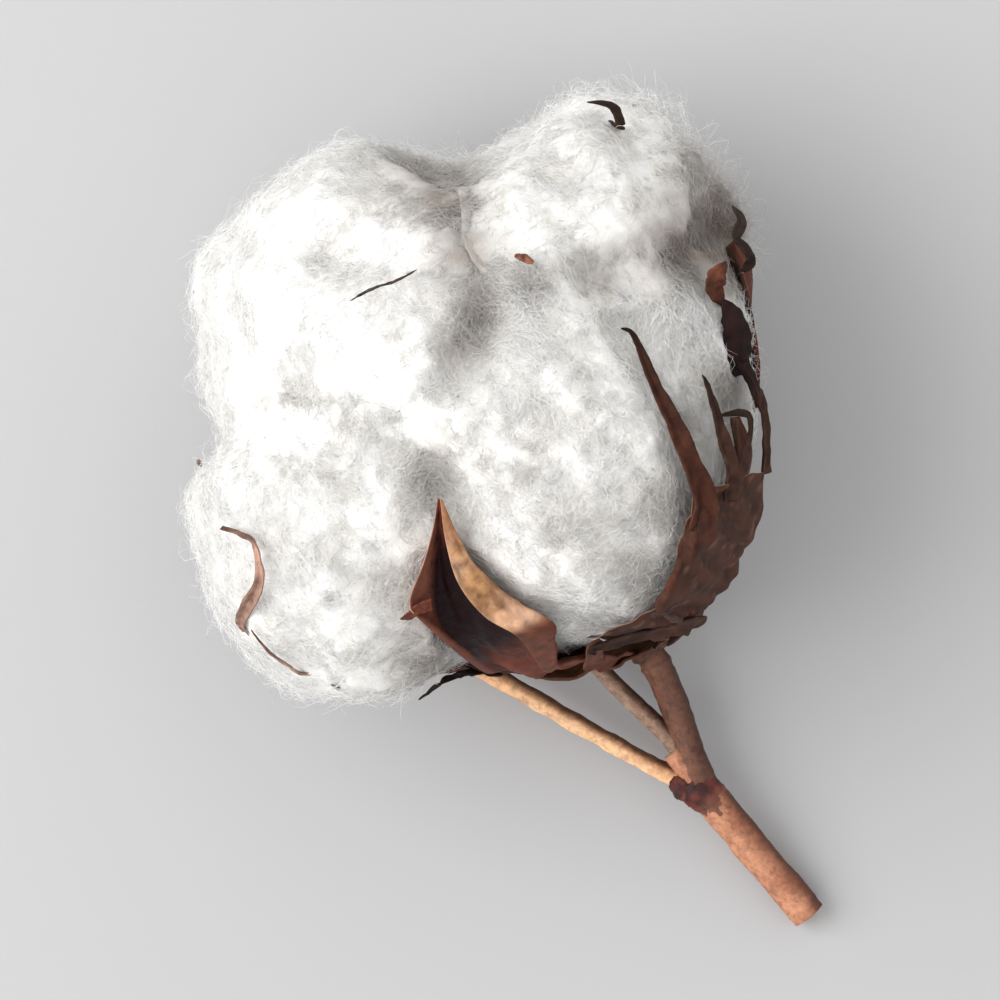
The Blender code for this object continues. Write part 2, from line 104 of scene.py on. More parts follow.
def vnoise(p, scale, seed):
    """Smooth value noise, -1..1, with features about `scale` mm across."""
    q = np.asarray(p) / scale + 1000.0
    i = np.floor(q)
    f = q - i
    i = i.astype(np.int64)
    u = f * f * f * (f * (f * 6 - 15) + 10)
    out = 0.0
    for dx in (0, 1):
        wx = u[..., 0] if dx else 1 - u[..., 0]
        for dy in (0, 1):
            wy = u[..., 1] if dy else 1 - u[..., 1]
            for dz in (0, 1):
                wz = u[..., 2] if dz else 1 - u[..., 2]
                out = out + wx * wy * wz * hash01(
                    i[..., 0] + dx, i[..., 1] + dy, i[..., 2] + dz, seed)
    return out * 2.0 - 1.0


_rng0 = np.random.default_rng(11)


def wave_set(count, wavelength, seed):
    r = np.random.default_rng(seed)
    k = unit(r.normal(size=(count, 3))) * (2 * math.pi / (wavelength * r.uniform(0.75, 1.35, (count, 1))))
    d = unit(r.normal(size=(count, 3)))
    ph = r.uniform(0, 2 * math.pi, count)
    return k, d, ph


def waves(p, w):
    k, d, ph = w
    return np.sin(p @ k.T + ph) @ d / math.sqrt(len(ph))


WARP_A = wave_set(6, 26.0, 5)
WARP_B = wave_set(7, 11.0, 8)
FLOW_A = wave_set(6, 17.0, 21)
FLOW_B = wave_set(7, 6.0, 22)
FLOW_C = wave_set(8, 2.6, 23)


def warp(p):
    return p + 1.5 * waves(p, WARP_A) + 0.75 * waves(p, WARP_B)


def ellipsoid(p, c, r):
    r = np.asarray(r, dtype=float)
    q = (p - np.asarray(c)) / r
    return (np.sqrt((q * q).sum(-1)) - 1.0) * r.min()


def cone(p, a, b, ra, rb):
    ab = b - a
    t = np.clip(((p - a) @ ab) / (ab @ ab), 0.0, 1.0)
    near = a + t[..., None] * ab
    return np.linalg.norm(p - near, axis=-1) - (ra + t * (rb - ra))


def smooth_min(a, b, k):
    h = np.clip(0.5 + 0.5 * (b - a) / k, 0.0, 1.0)
    return b * (1 - h) + a * h - k * h * (1 - h)


def smooth_max(a, b, k):
    return -smooth_min(-a, -b, k)


ROOTS = {}
for _n, (_c, _r) in LOCKS.items():
    _c = np.array(_c)
    ROOTS[_n] = -20.0 * U + 4.5 * unit(_c - (_c @ U) * U)


def lobes(p):
    """Distance-like field of each lock, before it is cut by its neighbours."""
    out = []
    for n in NAMES:
        c, r = LOCKS[n]
        out.append(smooth_min(ellipsoid(p, c, r),
                              cone(p, np.array(c), ROOTS[n], 0.62 * min(r), 8.0), 5.0))
    return np.stack(out)


def core(p):
    return ellipsoid(p, CORE_MIDDLE, CORE_SIZE)


def lock_field(name, p, shoulder=3.2):
    q = warp(p)
    f = lobes(q)
    i = NAMES.index(name)
    others = np.delete(f, i, axis=0).min(axis=0)
    g = smooth_max(smooth_min(f[i], core(q), 3.0), f[i] - others - 0.2, shoulder)
    return np.maximum(g, -(p[..., 2] + REST - 0.03))


BLEND = 1.5


def lint_field(p, k=BLEND, warped=True):
    """Distance-like field of all the lint together."""
    q = warp(p) if warped else p
    f = np.concatenate([lobes(q), core(q)[None]])
    low = f.min(axis=0)
    return low - k * np.log(np.exp(-(f - low) / k).sum(axis=0))


def gradient(fun, p, e=0.05):
    g = np.stack([fun(p + np.array(d) * e) - fun(p - np.array(d) * e)
                  for d in ((1, 0, 0), (0, 1, 0), (0, 0, 1))], axis=-1)
    return unit(g)


# soft hollows in the lint: two ends, radius and depth, mm
def seam(x0, y0, x1, y1, r, depth):
    a, b = pl(x0, y0, 0.0), pl(x1, y1, 0.0)
    return a, b, r, depth


def hollows(p):
    """How strongly each point lies in one of the soft hollows, and how deep."""
    deep = np.zeros(len(p))
    for a, b, r, depth in SEAMS:
        ab = b - a
        t = np.clip(((p - a) @ ab) / max(ab @ ab, 1e-9), 0.0, 1.0)
        d2 = ((p - a - t[:, None] * ab) ** 2).sum(-1)
        deep = np.maximum(deep, depth * np.exp(-d2 / (2 * r * r)))
    return deep


PRESSED = []


def pressed(p):
    """How far the lint lies back under the segments of the bur, mm."""
    deep = np.zeros(len(p))
    for a, b, r, depth in PRESSED:
        ab = b - a
        t = np.clip(((p - a) @ ab) / max(ab @ ab, 1e-9), 0.0, 1.0)
        d2 = ((p - a - t[:, None] * ab) ** 2).sum(-1)
        deep = np.maximum(deep, depth * np.exp(-d2 / (2 * r * r)))
    return deep


def lump(p):
    """Soft unevenness of the lint's surface, mm; none on the floor flats."""
    return ((0.60 * vnoise(p, 8.5, 1) + 0.34 * vnoise(p, 3.9, 2)
             + 0.26 * vnoise(p, 1.9, 3) + 0.13 * vnoise(p, 0.95, 4)
             - 0.80 - np.maximum(hollows(p), pressed(p)))
            * np.clip((p[:, 2] + REST - 0.2) / 2.0, 0.0, 1.0))


def last_inside(field, start, d, reach, steps):
    n = len(d)
    lo, hi = np.zeros(n), np.full(n, float(reach))
    alive = np.arange(n)
    for k in range(1, steps + 1):
        t = reach * k / steps
        v = field(start + d[alive] * t)
        out = v > 0
        hi[alive[out]] = t
        alive = alive[~out]
        lo[alive] = t
        if not len(alive):
            break
    for _ in range(13):
        mid = 0.5 * (lo + hi)
        inside = field(start + d * mid[:, None]) <= 0
        lo = np.where(inside, mid, lo)
        hi = np.where(inside, hi, mid)
    return 0.5 * (lo + hi)


def level_radius(dirs, level, reach=52.0):
    """Distance from the ball's middle where the smooth lint reaches level."""
    dirs = np.asarray(dirs, dtype=float)
    level = np.broadcast_to(level, len(dirs)).astype(float)

    def fun(t):
        return lint_field(dirs * t[:, None], 2.0, False) - level
    steps = 52
    hi = np.full(len(dirs), reach)
    found = np.zeros(len(dirs), bool)
    for k in range(steps, 0, -1):
        t = np.full(len(dirs), reach * k / steps)
        found |= fun(t) <= 0
        hi = np.where(found, hi, t)
    lo = hi - reach / steps
    for _ in range(18):
        mid = 0.5 * (lo + hi)
        inside = fun(mid) <= 0
        lo = np.where(inside, mid, lo)
        hi = np.where(inside, hi, mid)
    return 0.5 * (lo + hi)


def polar(theta, phi):
    t, f = np.radians(theta), np.radians(phi)
    t, f = np.asarray(t)[..., None], np.asarray(f)[..., None]
    return -np.cos(t) * U + np.sin(t) * (np.cos(f) * N1 + np.sin(f) * N2)


def above(x, y, level=0.8):
    z = np.linspace(45.0, -REST, 1401)
    p = np.stack([np.full_like(z, x), np.full_like(z, y), z], axis=1)
    v = lint_field(p, 2.0, False) - level
    inside = np.nonzero(v <= 0)[0]
    k = inside[0] if len(inside) else int(np.argmin(v))
    return p[k]


def plan(x, y):
    d = unit(above(x, y))
    th = math.degrees(math.acos(max(-1.0, min(1.0, float(-(d @ U))))))
    return th, math.degrees(math.atan2(float(d @ N2), float(d @ N1)))


def px(x, y):
    """Plan position in mm from the layout grid of 0.43 mm squares."""
    return (x - 448.0) * 0.43, (198.0 - y) * 0.43


def pl(x, y, level):
    return above(*px(x, y), level)


SEAMS = [
    seam(434, 133, 441, 150, 2.9, 2.6),      # between the two upper locks
    seam(441, 141, 443, 146, 1.9, 2.4),
    seam(441, 150, 447, 168, 2.4, 2.0),
    seam(447, 172, 447, 181, 1.7, 2.4),
    seam(447, 180, 440, 191, 1.8, 1.4),
    seam(452, 169, 474, 166, 1.6, 0.9),
    seam(474, 166, 498, 164, 2.0, 1.6),      # between upper right and right
    seam(498, 163, 506, 156, 2.6, 2.4),
    seam(436, 214, 438, 228, 2.2, 1.6),      # above the front valve
    seam(395, 196, 425, 204, 2.6, 0.7),
    seam(425, 204, 437, 214, 2.2, 0.9),
    seam(434, 252, 428, 262, 2.2, 0.7),
    seam(447, 257, 441, 240, 1.9, 2.6),      # under the front valve
    seam(458, 258, 452, 250, 1.6, 1.2),
    seam(484, 178, 496, 200, 1.5, 1.3),      # beside the right bract's tooth
    seam(496, 200, 500, 222, 1.5, 1.0),
]
# painted shade: brown-grey spots painted on the lint where it lies in shade, in the valley between the two upper
# locks, beside the bracts and the front valve, and at the upper right lock's far edge, where it is partly the dark
# bur showing through thin lint; each gives a place, a radius in mm and a strength
PAINTED_SHADE_SPOTS = [(pl(500, 154, 0.0), 3.2, 0.62), (pl(506, 146, 0.0), 2.6, 0.66),
         (pl(494, 163, 0.0), 2.6, 0.60), (pl(431, 142, 0.0), 3.4, 0.32),
         (pl(437, 147, 0.0), 3.0, 0.30), (pl(504, 159, 0.0), 2.9, 1.04), (pl(509, 156, 0.0), 2.9, 1.10),
         (pl(498, 162, 0.0), 2.3, 1.05), (pl(507, 149, 0.0), 2.7, 0.80),
         (pl(502, 143, 0.0), 2.8, 0.66), (pl(492, 160, 0.0), 2.2, 0.62),
         (pl(509, 168, 0.0), 1.6, 1.00), (pl(498, 152, 0.0), 2.6, 0.62),
         (pl(442, 141, 0.0), 1.5, 0.70), (pl(436, 140, 0.0), 3.0, 0.42),
         (pl(440, 150, 0.0), 2.8, 0.44), (pl(432, 150, 0.0), 3.2, 0.28),
         (pl(444, 163, 0.0), 2.6, 0.55), (pl(448, 176, 0.0), 1.9, 0.66),
         (pl(444, 185, 0.0), 1.7, 0.56), (pl(460, 171, 0.0), 1.8, 0.36),
         (pl(478, 168, 0.0), 1.8, 0.36), (pl(508, 196, 0.0), 2.3, 0.66),
         (pl(497, 206, 0.0), 1.8, 0.55), (pl(493, 226, 0.0), 2.6, 0.42),
         (pl(488, 240, 0.0), 2.6, 0.32), (pl(437, 261, 0.0), 2.4, 0.60),
         (pl(437, 218, 0.0), 1.6, 0.45), (pl(460, 214, 0.0), 3.0, 0.20),
         (pl(470, 228, 0.0), 3.2, 0.20)]

# --------------------------------------------------------------------------
# Meshes
# --------------------------------------------------------------------------
def mesh_object(name, verts, faces, mats, smooth=True, face_mat=None):
    """verts in mm round the ball's middle; faces as an index array or list."""
    v = (np.asarray(verts) + SHIFT) * MM
    me = bpy.data.meshes.new(name)
    if isinstance(faces, np.ndarray):
        n, k = faces.shape
        me.vertices.add(len(v))
        me.vertices.foreach_set("co", v.astype(np.float32).ravel())
        me.loops.add(n * k)
        me.loops.foreach_set("vertex_index", faces.astype(np.int32).ravel())
        me.polygons.add(n)
        me.polygons.foreach_set("loop_start", np.arange(0, n * k, k, dtype=np.int32))
        me.update(calc_edges=True)
    else:
        me.from_pydata([tuple(x) for x in v], [], faces)
        me.update()
    for m in mats:
        me.materials.append(m)
    if face_mat is not None:
        me.polygons.foreach_set("material_index", np.asarray(face_mat, dtype=np.int32))
    if smooth:
        me.shade_smooth()
    ob = bpy.data.objects.new(name, me)
    bpy.context.scene.collection.objects.link(ob)
    return ob


def piece(ob, slot, *nodes):
    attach(ob, "root")
    if nodes:
        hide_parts(*nodes)
    return ob


def icosphere(sub):
    bm = bmesh.new()
    bmesh.ops.create_icosphere(bm, subdivisions=sub, radius=1.0)
    d = unit(np.array([v.co[:] for v in bm.verts]))
    f = np.array([[v.index for v in fc.verts] for fc in bm.faces], dtype=np.int64)
    bm.free()
    return d, f


# --------------------------------------------------------------------------
# Materials
# --------------------------------------------------------------------------
def new_material(name):
    m = bpy.data.materials.new(name)
    m.use_nodes = True
    nt = m.node_tree
    b = nt.nodes["Principled BSDF"]
    return m, nt, b


def noise_node(nt, scale, detail=4.0, rough=0.55, stretch=None, distortion=0.0):
    tc = nt.nodes.get("Texture Coordinate") or nt.nodes.new("ShaderNodeTexCoord")
    n = nt.nodes.new("ShaderNodeTexNoise")
    n.inputs["Scale"].default_value = scale
    n.inputs["Detail"].default_value = detail
    n.inputs["Roughness"].default_value = rough
    n.inputs["Distortion"].default_value = distortion
    if stretch:
        mp = nt.nodes.new("ShaderNodeMapping")
        mp.inputs["Scale"].default_value = stretch
        nt.links.new(tc.outputs["Object"], mp.inputs["Vector"])
        nt.links.new(mp.outputs["Vector"], n.inputs["Vector"])
    else:
        nt.links.new(tc.outputs["Object"], n.inputs["Vector"])
    return n


def ramp_node(nt, source, stops):
    r = nt.nodes.new("ShaderNodeValToRGB")
    el = r.color_ramp.elements
    while len(el) > 1:
        el.remove(el[-1])
    el[0].position, el[0].color = stops[0][0], (*stops[0][1], 1.0)
    for pos, col in stops[1:]:
        e = el.new(pos)
        e.color = (*col, 1.0)
    nt.links.new(source, r.inputs["Fac"])
    return r


def lint_material():
    m, nt, b = new_material("lint_mat")
    at = nt.nodes.new("ShaderNodeAttribute")
    at.attribute_name = "tint"
    n1 = noise_node(nt, 420.0, 5.0, 0.6)
    r = ramp_node(nt, n1.outputs["Fac"], [(0.30, (0.90, 0.885, 0.86)),
                                          (0.55, (1.0, 1.0, 1.0)),
                                          (0.70, (1.03, 1.03, 1.03))])
    mul = nt.nodes.new("ShaderNodeMix")
    mul.data_type = "RGBA"
    mul.blend_type = "MULTIPLY"
    mul.inputs[0].default_value = 1.0
    nt.links.new(at.outputs["Color"], mul.inputs[6])
    nt.links.new(r.outputs["Color"], mul.inputs[7])
    nt.links.new(mul.outputs[2], b.inputs["Base Color"])
    b.inputs["Roughness"].default_value = 0.95
    b.inputs["Specular IOR Level"].default_value = 0.1
    b.inputs["Subsurface Weight"].default_value = 0.25
    b.inputs["Subsurface Radius"].default_value = (1.0, 0.95, 0.85)
    b.inputs["Subsurface Scale"].default_value = 0.0012
    fine = noise_node(nt, 2600.0, 5.0, 0.65, distortion=1.2)
    bump = nt.nodes.new("ShaderNodeBump")
    bump.inputs["Strength"].default_value = 0.5
    bump.inputs["Distance"].default_value = 0.0003
    nt.links.new(fine.outputs["Fac"], bump.inputs["Height"])
    nt.links.new(bump.outputs["Normal"], b.inputs["Normal"])
    return m


def fibre_material(name, gain):
    """Lint fibre: takes its colour from the mesh, a little lighter."""
    m, nt, b = new_material(name)
    at = nt.nodes.new("ShaderNodeAttribute")
    at.attribute_name = "tint"
    g = nt.nodes.new("ShaderNodeMix")
    g.data_type = "RGBA"
    g.blend_type = "MIX"
    g.inputs[0].default_value = gain
    g.inputs[7].default_value = (0.97, 0.965, 0.95, 1.0)
    nt.links.new(at.outputs["Color"], g.inputs[6])
    nt.links.new(g.outputs[2], b.inputs["Base Color"])
    b.inputs["Roughness"].default_value = 0.8
    b.inputs["Specular IOR Level"].default_value = 0.15
    b.inputs["Sheen Weight"].default_value = 0.15
    b.inputs["Sheen Roughness"].default_value = 0.5
    return m


def plain(name, colour, rough=0.7):
    m, nt, b = new_material(name)
    b.inputs["Base Color"].default_value = (*colour, 1.0)
    b.inputs["Roughness"].default_value = rough
    return m


MAT_LINT = lint_material()
MAT_FIBRE = fibre_material("lint_fibre_mat", 0.08)
MAT_HALO = fibre_material("lint_halo_mat", 0.18)

# --------------------------------------------------------------------------
# Dry parts: the split bur, calyx, bracts
# --------------------------------------------------------------------------
def at_polar(th, ph, level):
    d = polar(np.array([th]), np.array([ph]))
    return d[0] * level_radius(d, level)[0]


def curve(points, s):
    """Catmull-Rom through evenly spaced points, at each s in 0..1."""
    pts = np.asarray(points, dtype=float)
    if pts.ndim == 1:
        pts = pts[:, None]
    n = len(pts) - 1
    ext = np.concatenate([2 * pts[:1] - pts[1:2], pts, 2 * pts[-1:] - pts[-2:-1]])
    x = np.clip(np.asarray(s, dtype=float), 0, 1) * n
    i = np.minimum(x.astype(int), n - 1)
    f = (x - i)[:, None]
    p0, p1, p2, p3 = ext[i], ext[i + 1], ext[i + 2], ext[i + 3]
    return 0.5 * (2 * p1 + (p2 - p0) * f + (2 * p0 - 5 * p1 + 4 * p2 - p3) * f * f
                  + (3 * p1 - p0 - 3 * p2 + p3) * f ** 3)


def grid_normals(g):
    du = np.gradient(g, axis=0)
    dv = np.gradient(g, axis=1)
    n = unit(np.cross(dv, du))
    # the outer side faces away from the ball's middle over most of the sheet
    if (n * unit(g)).sum(-1).mean() < 0:
        n = -n
    return n


def add_tint(ob, colours):
    """Colour of each vertex, kept in the mesh for the material to read."""
    at = ob.data.color_attributes.new("tint", "FLOAT_COLOR", "POINT")
    c = np.ones((len(ob.data.vertices), 4), np.float32)
    c[:, :3] = colours
    at.data.foreach_set("color", c.ravel())


def closed_grid(name, g, thick, out_col, in_col, rim_col, mat):
    """Closed thin sheet round a grid (rows, cols, 3) of middle points, with
    its own colours outside, inside and on the rim."""
    rows, cols, _ = g.shape
    n = grid_normals(g)
    t = np.broadcast_to(thick, (rows, cols))[..., None] * 0.5
    top, bot = (g + n * t).reshape(-1, 3), (g - n * t).reshape(-1, 3)
    idx = np.arange(rows * cols).reshape(rows, cols)
    a, b = idx[:-1, :-1].ravel(), idx[:-1, 1:].ravel()
    c, d = idx[1:, 1:].ravel(), idx[1:, :-1].ravel()
    m = rows * cols
    flip = (np.cross(top[b[0]] - top[a[0]], top[d[0]] - top[a[0]]) * n.reshape(-1, 3)[a[0]]).sum() < 0
    f_top = np.stack([a, b, c, d], 1)
    f_bot = np.stack([d, c, b, a], 1) + m
    loop = np.concatenate([idx[0, :], idx[1:, -1], idx[-1, -2::-1], idx[-2:0:-1, 0]])
    nxt = np.roll(loop, -1)
    # the rim gets a middle ring, so that the edge is rounded
    k = len(loop)
    mid = 0.5 * (top[loop] + bot[loop])
    inner = g.reshape(-1, 3).mean(0)
    prev = np.roll(loop, 1)
    tang = unit(g.reshape(-1, 3)[nxt] - g.reshape(-1, 3)[prev])
    outv = unit(np.cross(tang, n.reshape(-1, 3)[loop]))
    s = np.sign((outv * (g.reshape(-1, 3)[loop] - g[rows // 2, cols // 2])).sum(-1).mean())
    mid = mid + outv * s * t.reshape(-1)[loop][:, None] * 0.9
    ring = np.arange(k) + 2 * m
    rn = np.roll(ring, -1)
    r_top = np.stack([nxt, loop, ring, rn], 1)
    r_bot = np.stack([rn, ring, loop + m, nxt + m], 1)
    faces = np.concatenate([f_top, f_bot, r_top, r_bot])
    if flip:
        faces = faces[:, ::-1].copy()
    verts = np.concatenate([top, bot, mid])
    ob = mesh_object(name, verts, faces, [mat])
    cols_all = np.concatenate([out_col.reshape(-1, 3), in_col.reshape(-1, 3),
                               np.broadcast_to(rim_col, (rows, cols, 3)).reshape(-1, 3)[loop]])
    add_tint(ob, cols_all)
    return ob


def dry_material(name, rough=(0.45, 0.8), bump=0.4, fine=3200.0, coarse=700.0,
                 spec=0.30):
    """Dry plant skin: tint of the mesh broken up by mottling and grain."""
    m, nt, b = new_material(name)
    at = nt.nodes.new("ShaderNodeAttribute")
    at.attribute_name = "tint"
    n1 = noise_node(nt, coarse, 6.0, 0.62, distortion=0.6)
    n2 = noise_node(nt, fine, 3.0, 0.6)
    r1 = ramp_node(nt, n1.outputs["Fac"], [(0.30, (0.60, 0.56, 0.54)),
                                           (0.50, (1.0, 1.0, 1.0)),
                                           (0.72, (1.38, 1.30, 1.22))])
    mul = nt.nodes.new("ShaderNodeMix")
    mul.data_type = "RGBA"
    mul.blend_type = "MULTIPLY"
    mul.inputs[0].default_value = 1.0
    nt.links.new(at.outputs["Color"], mul.inputs[6])
    nt.links.new(r1.outputs["Color"], mul.inputs[7])
    nt.links.new(mul.outputs[2], b.inputs["Base Color"])
    rr = nt.nodes.new("ShaderNodeMapRange")
    rr.inputs["From Min"].default_value = 0.35
    rr.inputs["From Max"].default_value = 0.65
    rr.inputs["To Min"].default_value = rough[0]
    rr.inputs["To Max"].default_value = rough[1]
    nt.links.new(n1.outputs["Fac"], rr.inputs["Value"])
    nt.links.new(rr.outputs["Result"], b.inputs["Roughness"])
    add = nt.nodes.new("ShaderNodeMath")
    add.operation = "ADD"
    nt.links.new(n1.outputs["Fac"], add.inputs[0])
    nt.links.new(n2.outputs["Fac"], add.inputs[1])
    bp = nt.nodes.new("ShaderNodeBump")
    bp.inputs["Strength"].default_value = bump
    bp.inputs["Distance"].default_value = 0.00018
    nt.links.new(add.outputs[0], bp.inputs["Height"])
    nt.links.new(bp.outputs["Normal"], b.inputs["Normal"])
    b.inputs["Specular IOR Level"].default_value = spec
    return m


MAT_BUR = dry_material("bur_mat", (0.5, 0.8), 0.55, spec=0.14)
MAT_BRACT = dry_material("bract_mat", (0.6, 0.9), 0.7, coarse=900.0, spec=0.14)
MAT_CALYX = dry_material("calyx_mat", (0.5, 0.8), 0.5, spec=0.15)

C_OUT = np.array([0.105, 0.026, 0.014])       # bur outside
C_OUT_DARK = np.array([0.020, 0.005, 0.005])
C_OUT_RED = np.array([0.170, 0.045, 0.024])
C_IN = np.array([0.32, 0.165, 0.085])         # bur inside
C_IN_PALE = np.array([0.60, 0.39, 0.28])
C_IN_DARK = np.array([0.125, 0.052, 0.026])
C_RIM = np.array([0.50, 0.31, 0.24])


def valve(name, rails, rows, cols, thick=0.55, wrinkle=0.16, hollow_shade=0.0, seed=1,
          front=False, dark=0.0):
    """A segment of the bur: rails of points from the stalk to the tip, one
    after another across the valve."""
    s = np.linspace(0, 1, rows)
    lines = np.stack([curve(r, s) for r in rails], axis=1)      # rows, rails, 3
    w = np.linspace(0, 1, cols)
    g = np.stack([curve(lines[i], w) for i in range(rows)])
    n = grid_normals(g)
    ss, ww = np.meshgrid(s, w, indexing="ij")
    # lengthwise wrinkles that fade at the tip, and an uneven skin
    fold = (np.sin(ww * 31 + 2.2 * np.sin(ss * 7 + seed)) * 0.5
            + np.sin(ww * 57 + 3.0 * np.sin(ss * 5 + 2 * seed)) * 0.3)
    fade = np.sin(math.pi * np.clip(ss * 0.92 + 0.04, 0, 1)) * np.sin(math.pi * np.clip(ww, 0.03, 0.97))
    g = g + n * ((fold * wrinkle + 0.30 * vnoise(g, 3.1, seed) + 0.14 * vnoise(g, 1.2, seed + 3))
                 * fade)[..., None]
    edge = np.minimum(ww, 1 - ww)
    t = thick * (0.35 + 0.65 * np.clip(edge / 0.12, 0, 1)) * (1.0 - 0.6 * ss ** 3)
    streak = 0.5 + 0.5 * np.sin(ww * 44 + 2.5 * np.sin(ss * 6 + seed) + 2 * vnoise(g, 4.0, seed + 9))
    patch = 0.5 + 0.5 * vnoise(g, 2.3, seed + 5)
    # painted shade: the outside is darkened along the groove between the ridges
    out = mix(mix(C_OUT, C_OUT_RED, patch * 0.8), C_OUT_DARK,
              np.clip(streak * 0.45 + hollow_shade * np.exp(-((ww - 0.33) / 0.17) ** 2)
                      * np.clip((ss - 0.2) / 0.2, 0, 1) * np.clip((0.92 - ss) / 0.3, 0, 1), 0, 1))
    inn = mix(mix(C_IN, C_IN_PALE, np.clip(patch * 1.3 - 0.35, 0, 1)), C_IN_DARK,
              np.clip(streak * 0.8 - 0.20 + 0.6 * vnoise(g, 1.1, seed + 7)
                      + 0.4 * vnoise(g, 0.5, seed + 8), 0, 1))
    rim = np.broadcast_to(C_RIM, g.shape)
    # painted shade: dark draws the inner face and the rim towards near black, for segments that lie in shade
    if dark:
        inn = mix(inn, np.array([0.022, 0.009, 0.008]), dark)
        rim = mix(rim, np.array([0.05, 0.022, 0.017]), dark)
    if front:
        # painted shade: the groove between the ridges is painted nearly black, redder to the tip
        v = np.exp(-((ww - 0.38) / 0.22) ** 4) * np.clip((ss - 0.42) / 0.08, 0, 1) * np.clip((0.92 - ss) / 0.16, 0, 1)
        out = mix(out, np.array([0.011, 0.0024, 0.0030]), np.clip(v * 1.4, 0, 0.985))
        left = np.clip((0.16 - ww) / 0.10, 0, 1) * np.clip((ss - 0.3) / 0.2, 0, 1)
        out = mix(out, np.array([0.26, 0.10, 0.065]), left * 0.6)
        low = np.clip((0.50 - ss) / 0.10, 0, 1)
        out = mix(out, np.array([0.19, 0.048, 0.026]) * (1 + 0.5 * vnoise(g, 1.0, seed + 11))[..., None],
                  low * np.clip((ww - 0.25) / 0.15, 0, 1) * 0.85)
        gold = np.clip(0.45 + 1.1 * vnoise(g, 1.3, seed + 12), 0, 1)
        inn = mix(inn, np.array([0.50, 0.27, 0.115]), gold * 0.55)
        inn = mix(inn, np.array([0.14, 0.062, 0.030]), np.clip(1.6 * vnoise(g, 0.8, seed + 13) - 0.35, 0, 1) * 0.8)
        # painted highlight: a pale pink band across the inner face
        painted_highlight_band = np.exp(-((ss - 0.56) / 0.06) ** 2)
        inn = mix(inn, np.array([0.66, 0.40, 0.27]), painted_highlight_band * 0.5)
        tipred = np.clip((ss - 0.80) / 0.15, 0, 1)
        inn = mix(inn, np.array([0.30, 0.125, 0.055]), tipred * 0.7)
        end = np.clip((0.545 - ss) / 0.035, 0, 1)
        inn = mix(inn, np.array([0.135, 0.038, 0.022]) * (1 + 0.5 * vnoise(g, 0.9, seed + 14))[..., None],
                  end * 0.94)
        rim = mix(rim, np.array([0.13, 0.040, 0.024]), end * 0.95)
    ob = closed_grid(name.replace("bur_valve", "bur"), g, t, np.clip(out, 0.002, 1), np.clip(inn, 0.002, 1),
                     rim, MAT_BUR)
    return piece(ob, "bur", name)


def make_valve_front():
    P = at_polar
    L = [P(12, -52, 0.7), P(24, -52, 0.7), P(36, -51, 0.7), P(46, -48, 0.7),
         pl(434.4, 250.6, 0.8), pl(431.6, 246.0, 1.1), pl(435.0, 236.5, 0.8),
         pl(437.3, 228.0, 0.5), pl(438.2, 221.5, 0.6)]
    V = [P(12, -42, 0.7), P(24, -43, 0.8), P(35, -43, 0.9), P(46, -40, 0.5),
         pl(445.0, 256.0, -1.2), pl(440.5, 248.5, -1.8), pl(438.4, 239.0, -1.2),
         pl(438.5, 230.0, -0.4), pl(438.5, 221.6, 0.5)]
    R = [P(12, -34, 0.9), P(24, -35, 1.2), P(34, -35, 1.4), P(46, -33, 1.5),
         pl(453.6, 254.5, 0.5), pl(447.0, 245.5, -0.1), pl(442.2, 237.0, -0.1),
         pl(439.6, 229.5, 0.1), pl(438.8, 221.6, 0.5)]
    F = [P(12, -20, 0.8), P(24, -24, 0.9), P(35, -25, 1.0), P(47, -23, 1.0),
         pl(464.8, 251.2, 1.1), pl(455.0, 245.6, 1.0), pl(447.4, 238.2, 1.0),
         pl(442.0, 229.2, 0.8), pl(439.1, 221.7, 0.6)]
    M = [P(12, -24, 1.1), P(24, -28, 1.3), P(35, -29, 1.5), P(46, -27, 1.7),
         pl(457.6, 254.6, 2.5), pl(449.4, 249.4, 2.6), pl(443.2, 241.5, 2.2),
         pl(440.2, 231.5, 1.3), pl(438.9, 221.8, 0.75)]
    return valve("bur_valve_front", [L, V, R, F, M], 120, 72, hollow_shade=1.5, seed=3, front=True)


def generic_valve(name, stations, widths, seed, curl=2.0, dip=0.5, base=0.55, dark=0.0):
    """stations: (angle from stalk, angle round axis) of the middle line."""
    rails = [[] for _ in range(6)]
    for i, ((th, ph), w) in enumerate(zip(stations, widths)):
        f = i / (len(stations) - 1)
        a = polar(np.array([th]), np.array([ph]))[0]
        th2, ph2 = stations[min(i + 1, len(stations) - 1)]
        th1, ph1 = stations[max(i - 1, 0)]
        along = unit(polar(np.array([th2]), np.array([ph2]))[0] - polar(np.array([th1]), np.array([ph1]))[0])
        side = unit(np.cross(along, a))
        up = curl * math.sin(math.pi * min(max(f, 0.02), 0.98)) ** 0.7
        for k, (x, lv) in enumerate(((-0.82, base + 0.15 + up), (-1.0, base + 0.25 + 0.45 * up), (-0.45, base),
                                     (0.0, base - dip), (0.5, base), (0.98, base + 0.25 + 0.8 * up))):
            d = unit(a + side * (w * x / 29.0))
            rails[k].append(d * level_radius([d], lv)[0])
    return valve(name, rails, 80, 48, seed=seed, dark=dark)


